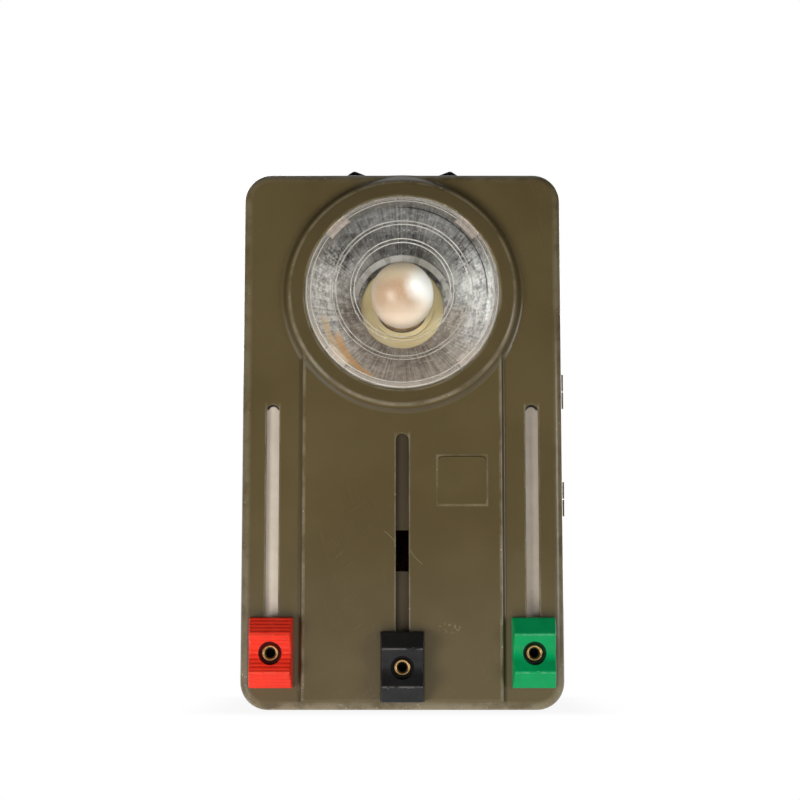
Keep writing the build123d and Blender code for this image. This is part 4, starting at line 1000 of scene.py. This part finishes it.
def bored_mesh(mesh, x, z, bores):
    """The mesh with round bores along Y; each has a radius, a front end and a rear end."""
    body = placed(mesh.name, mesh)
    tools = []
    for radius, near, far in bores:
        outline = [(0.0, near), (radius, near), (radius, far), (0.0, far)]
        tool = placed("bore", turned_mesh("bore", outline, 72, x, z))
        cut = body.modifiers.new("bore", "BOOLEAN")
        cut.object = tool
        cut.operation = "DIFFERENCE"
        cut.solver = "EXACT"
        tools.append(tool)
    bored = evaluated_mesh(body)
    for spare in [body] + tools:
        bpy.data.objects.remove(spare)
    return bored


def knob_mesh(name, place, reach, rib):
    """Slider knob with two ridges, a valley with a bored seat, and a tongue that reaches its plate."""
    x, z, level = place
    under = level - KNOB_GAP
    front = under - 6
    bores = ((2.5, front, under - KNOB_SEAT), (1.15, front, under + 1))
    tongue_width = 2.4
    tongue_top = z - 1.4
    tongue_foot = tongue_top - 3.6
    work = bmesh.new()
    work.from_mesh(bored_mesh(swept_knob(name, x, z, under, rib), x, z, bores))
    for corner in bmesh.ops.create_cube(work, size=1.0)["verts"]:
        corner.co.x = (x + corner.co.x * tongue_width) * MM
        corner.co.y = (FACE + (under - 0.2 if corner.co.y < 0 else reach - 0.05)) * MM
        corner.co.z = (tongue_top if corner.co.z > 0 else tongue_foot) * MM
    return finished_mesh(name, work, 40)


def eyelet_mesh(name, place, plate_far):
    """Eyelet with a rolled rim in the seat of a knob and a closed rear end."""
    x, z, level = place
    seat = level - KNOB_GAP - KNOB_SEAT
    front = seat - 0.7
    bore = 0.95
    barrel = 1.1
    flare = 1.8
    end = plate_far + 0.2
    outline = [(0.0, end), (bore, end), (bore, front + 0.75), (1.08, front + 0.45)]
    for step in range(10):
        turn = math.radians(200 - 24 * step)
        outline.append((1.47 + 0.38 * math.cos(turn), front + 0.40 - 0.40 * math.sin(turn)))
    outline += [
        (flare, seat - 0.05), (barrel, seat - 0.05), (barrel, plate_far + 0.05),
        (flare, plate_far + 0.05), (flare, plate_far + 0.3), (0.0, plate_far + 0.3),
    ]
    return turned_mesh(name, outline, 64, x, z, angle=50)


def slider(name, finish, place, plate_near, rib):
    """Knob and eyelet of one slider."""
    body = name + "_slider"
    knob = knob_mesh(name + "_knob", place, plate_near, rib)
    add_piece(name + "_slider_knob", knob, finish, body, name + "_knob")
    eyelet = eyelet_mesh(name + "_eyelet", place, plate_near + PLATE)
    metal = eyelet_metal(name + "_eyelet_metal", place[2])
    add_piece(name + "_slider_eyelet", eyelet, metal, body, name + "_eyelet")


# Switch spring, hanging tab and felt pad

def spring_piece():
    """Bowed leaf with an open middle under the switch."""
    work = bmesh.new()
    steps = 40
    span = 10.0
    end_height = 117.68
    bow = 0.74
    half_sheet = 0.12
    middle = 14.0
    opening = 1.85

    def strip(left, right, depths):
        """Part of the leaf from left to right, between two depths."""
        rows = []
        for step in range(steps + 1):
            x = left + (right - left) * step / steps
            rise = end_height + bow * (1 - (x / span) ** 2)
            row = []
            for depth in depths:
                for lift in (-half_sheet, half_sheet):
                    row.append(work.verts.new(Vector((x, FACE + depth, rise + lift)) * MM))
            rows.append(row)
        for here, after in zip(rows, rows[1:]):
            for first, second in ((0, 1), (1, 3), (3, 2), (2, 0)):
                work.faces.new((here[first], here[second], after[second], after[first]))
        for row in (rows[0], rows[-1]):
            work.faces.new((row[0], row[1], row[3], row[2]))

    for side in (-1, 1):
        strip(-span, span, (middle + side * 2.66, middle + side * opening))
    for side in (-1, 1):
        strip(*sorted((side * 2.4, side * span)), (middle - opening, middle + opening))
    mesh = finished_mesh("spring", work, 30)
    piece = add_piece("bowed_spring", mesh, steel, "switch_slider", "switch_spring")
    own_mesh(piece)


def flat_mesh(name, outlines, near, far, edge):
    """Flat mesh with round edges from closed outlines of (x, z) points: a rim, and holes after it."""
    curve = bpy.data.curves.new(name, "CURVE")
    curve.dimensions = "2D"
    curve.fill_mode = "BOTH"
    curve.extrude = ((far - near) / 2 - edge) * MM
    curve.bevel_depth = edge * MM
    curve.bevel_resolution = 4
    curve.offset = -edge * MM
    for points in outlines:
        line = curve.splines.new("POLY")
        line.points.add(len(points) - 1)
        line.use_cyclic_u = True
        for spot, (x, z) in zip(line.points, points):
            spot.co = (x * MM, z * MM, 0.0, 1.0)
    holder = placed(name, curve)
    mesh = evaluated_mesh(holder)
    bpy.data.objects.remove(holder)
    middle = (FACE + (near + far) / 2) * MM
    for vertex in mesh.vertices:
        across, up, out = vertex.co
        vertex.co = (across, middle - out, up)
    work = bmesh.new()
    work.from_mesh(mesh)
    return finished_mesh(name, work, 40)


def arc(x, z, radius, start, end, steps):
    """Points on an arc, in degrees."""
    points = []
    for step in range(steps + 1):
        turn = math.radians(start + (end - start) * step / steps)
        points.append((x + radius * math.cos(turn), z + radius * math.sin(turn)))
    return points


def upright_outline(half, low, high, top, foot):
    """Outline about x = 0 with round corners; top and foot give the radius and the steps of theirs."""
    radius, steps = top
    points = arc(radius - half, high - radius, radius, 180, 90, steps)
    points += arc(half - radius, high - radius, radius, 90, 0, steps)
    radius, steps = foot
    points += arc(half - radius, low + radius, radius, 0, -90, steps)
    return points + arc(radius - half, low + radius, radius, -90, -180, steps)


def tab_piece():
    """Leather hanging tab with a buttonhole and two rivet holes."""
    foot = 38.0
    hole_half = 1.5
    hole_low = foot + 8 + hole_half
    rim = upright_outline(12.0, foot, 106.0, (3, 8), (9.6, 16))
    hole = arc(0, hole_low, hole_half, 180, 360, 10) + arc(0, hole_low + 10, hole_half, 0, 180, 10)
    rivet_holes = [arc(x, 101.0, 1.05, 0, 345, 23) for x in (-7.0, 7.0)]
    mesh = flat_mesh("tab", [rim, hole] + rivet_holes, 31.65, 33.6, 0.45)
    add_piece("leather_tab", mesh, strap_leather(), "cover", "hanging_tab")


def pad_piece():
    """Felt pad with soft edges that presses on the battery."""
    half_height = 16.25
    rim = upright_outline(15.5, BATTERY_MIDDLE - half_height, BATTERY_MIDDLE + half_height, (2, 6), (2, 6))
    mesh = flat_mesh("pad", [rim], 27.1, 29.5, 0.9)
    piece = add_piece("felt_pad", mesh, grey_felt(), "cover", "battery_pad")


lens_piece()
reflector_piece()
bulb_piece()
slider("red", red_moulding, RED_KNOB, RED_PLATE, rib=0.13)
slider("green", green_moulding, GREEN_KNOB, GREEN_PLATE, rib=0.0)
slider("shutter", black_moulding, SHUTTER_KNOB, SHUTTER_PLATE, rib=0.0)
spring_piece()
tab_piece()
pad_piece()


# Floor, light and camera

def pale_floor():
    """White floor that keeps the shadow near the lamp and meets the white backdrop further out."""
    floor_finish = Recipe(bpy.data.materials.new("pale_floor"))
    where = floor_finish.node("ShaderNodeTexCoord", {}, {}, "Object")
    x = floor_finish.node("ShaderNodeSeparateXYZ", {}, {0: where})
    beside = (abs(x) - CASE_WIDTH / 2 * MM).most(0.0)
    before = (abs(x.output("Y")) - CASE_DEPTH / 2 * MM).most(0.0)
    away = (beside ** 2 + before ** 2) ** 0.5
    path = floor_finish.node("ShaderNodeLightPath", {}, {}, "Is Camera Ray")
    seen = path.most(path.output("Is Transmission Ray")).most(path.output("Is Glossy Ray"))
    share = seen * (0.91 + 0.09 * floor_finish.band(away, 0.0, 0.015))
    matt = floor_finish.node("ShaderNodeBsdfDiffuse", {}, {"Color": (0.86, 0.86, 0.86, 1.0)})
    white = floor_finish.node("ShaderNodeEmission", {}, {"Color": WHITE, "Strength": 1.0})
    both = floor_finish.node("ShaderNodeMixShader", {}, {0: share, 1: matt, 2: white})
    floor_finish.node("ShaderNodeOutputMaterial", {}, {"Surface": both})
    work = bmesh.new()
    bmesh.ops.create_grid(work, x_segments=4, y_segments=4, size=6.0)
    mesh = bpy.data.meshes.new("floor")
    work.to_mesh(mesh)
    work.free()
    mesh.materials.append(floor_finish.owner)
    floor = placed("floor", mesh)
    floor.location.z = -0.00005
    floor.visible_shadow = False


def studio_world():
    """White backdrop behind the lamp, in mirrors only its middle, and a dimmer room for the light itself."""
    world = bpy.data.worlds.new("studio")
    bpy.context.scene.world = world
    room = Recipe(world)
    way = room.node("ShaderNodeTexCoord", {}, {}, "Generated")
    ahead = room.node("ShaderNodeSeparateXYZ", {}, {0: way}, "Y")
    behind = room.band(ahead, -0.05, 0.25)
    path = room.node("ShaderNodeLightPath", {}, {}, "Is Camera Ray")
    mirrored = path.output("Is Glossy Ray")
    backdrop = room.band(ahead, 0.55, 0.8)
    seen = path.most(path.output("Is Transmission Ray") * behind).most(mirrored * backdrop)
    lit = behind * (1 - mirrored)
    shade = room.mix(lit, (0.10, 0.10, 0.10, 1.0), (0.30, 0.30, 0.30, 1.0))
    dim = room.node("ShaderNodeBackground", {}, {"Color": shade, "Strength": 1.0})
    white = room.node("ShaderNodeBackground", {}, {"Color": WHITE, "Strength": 1.0})
    both = room.node("ShaderNodeMixShader", {}, {0: seen, 1: dim, 2: white})
    room.node("ShaderNodeOutputWorld", {}, {"Surface": both})


def aim(made, place, target):
    """Puts a light or a camera at a place and turns it to a target."""
    made.location = place
    made.rotation_euler = (Vector(target) - Vector(place)).to_track_quat("-Z", "Y").to_euler()


def soft_light(name, place, width, height, power):
    """Soft rectangular light turned to the middle of the lamp."""
    light = bpy.data.lights.new(name, "AREA")
    light.shape = "RECTANGLE"
    light.size = width
    light.size_y = height
    light.energy = power
    aim(placed(name, light), place, (0.0, 0.0, 0.06))


def photo_camera():
    """Camera below the middle of the lamp, looking slightly up at it."""
    lens = bpy.data.cameras.new("photo_camera")
    lens.lens = 72.0
    lens.sensor_width = 36.0
    lens.clip_start = 0.01
    camera = placed("photo_camera", lens)
    aim(camera, (-0.0005, -0.3636, 0.031), (-0.0005, -0.0155, 0.067))
    bpy.context.scene.camera = camera


pale_floor()
studio_world()
soft_light("low_left", (-0.31, -0.33, -0.12), 0.20, 0.22, 1.50)
soft_light("low_right", (0.34, -0.30, 0.02), 0.16, 0.22, 0.70)
soft_light("low_front", (0.0, -0.27, -0.27), 0.22, 0.12, 0.66)
soft_light("overhead", (0.0, 0.09, 0.55), 0.30, 0.06, 0.12)
soft_light("rear_left", (-0.25, 0.65, 0.35), 0.40, 0.40, 2.2)
soft_light("rear_right", (0.28, 0.62, 0.20), 0.30, 0.40, 1.4)
photo_camera()
bpy.context.scene.view_settings.view_transform = "Standard"
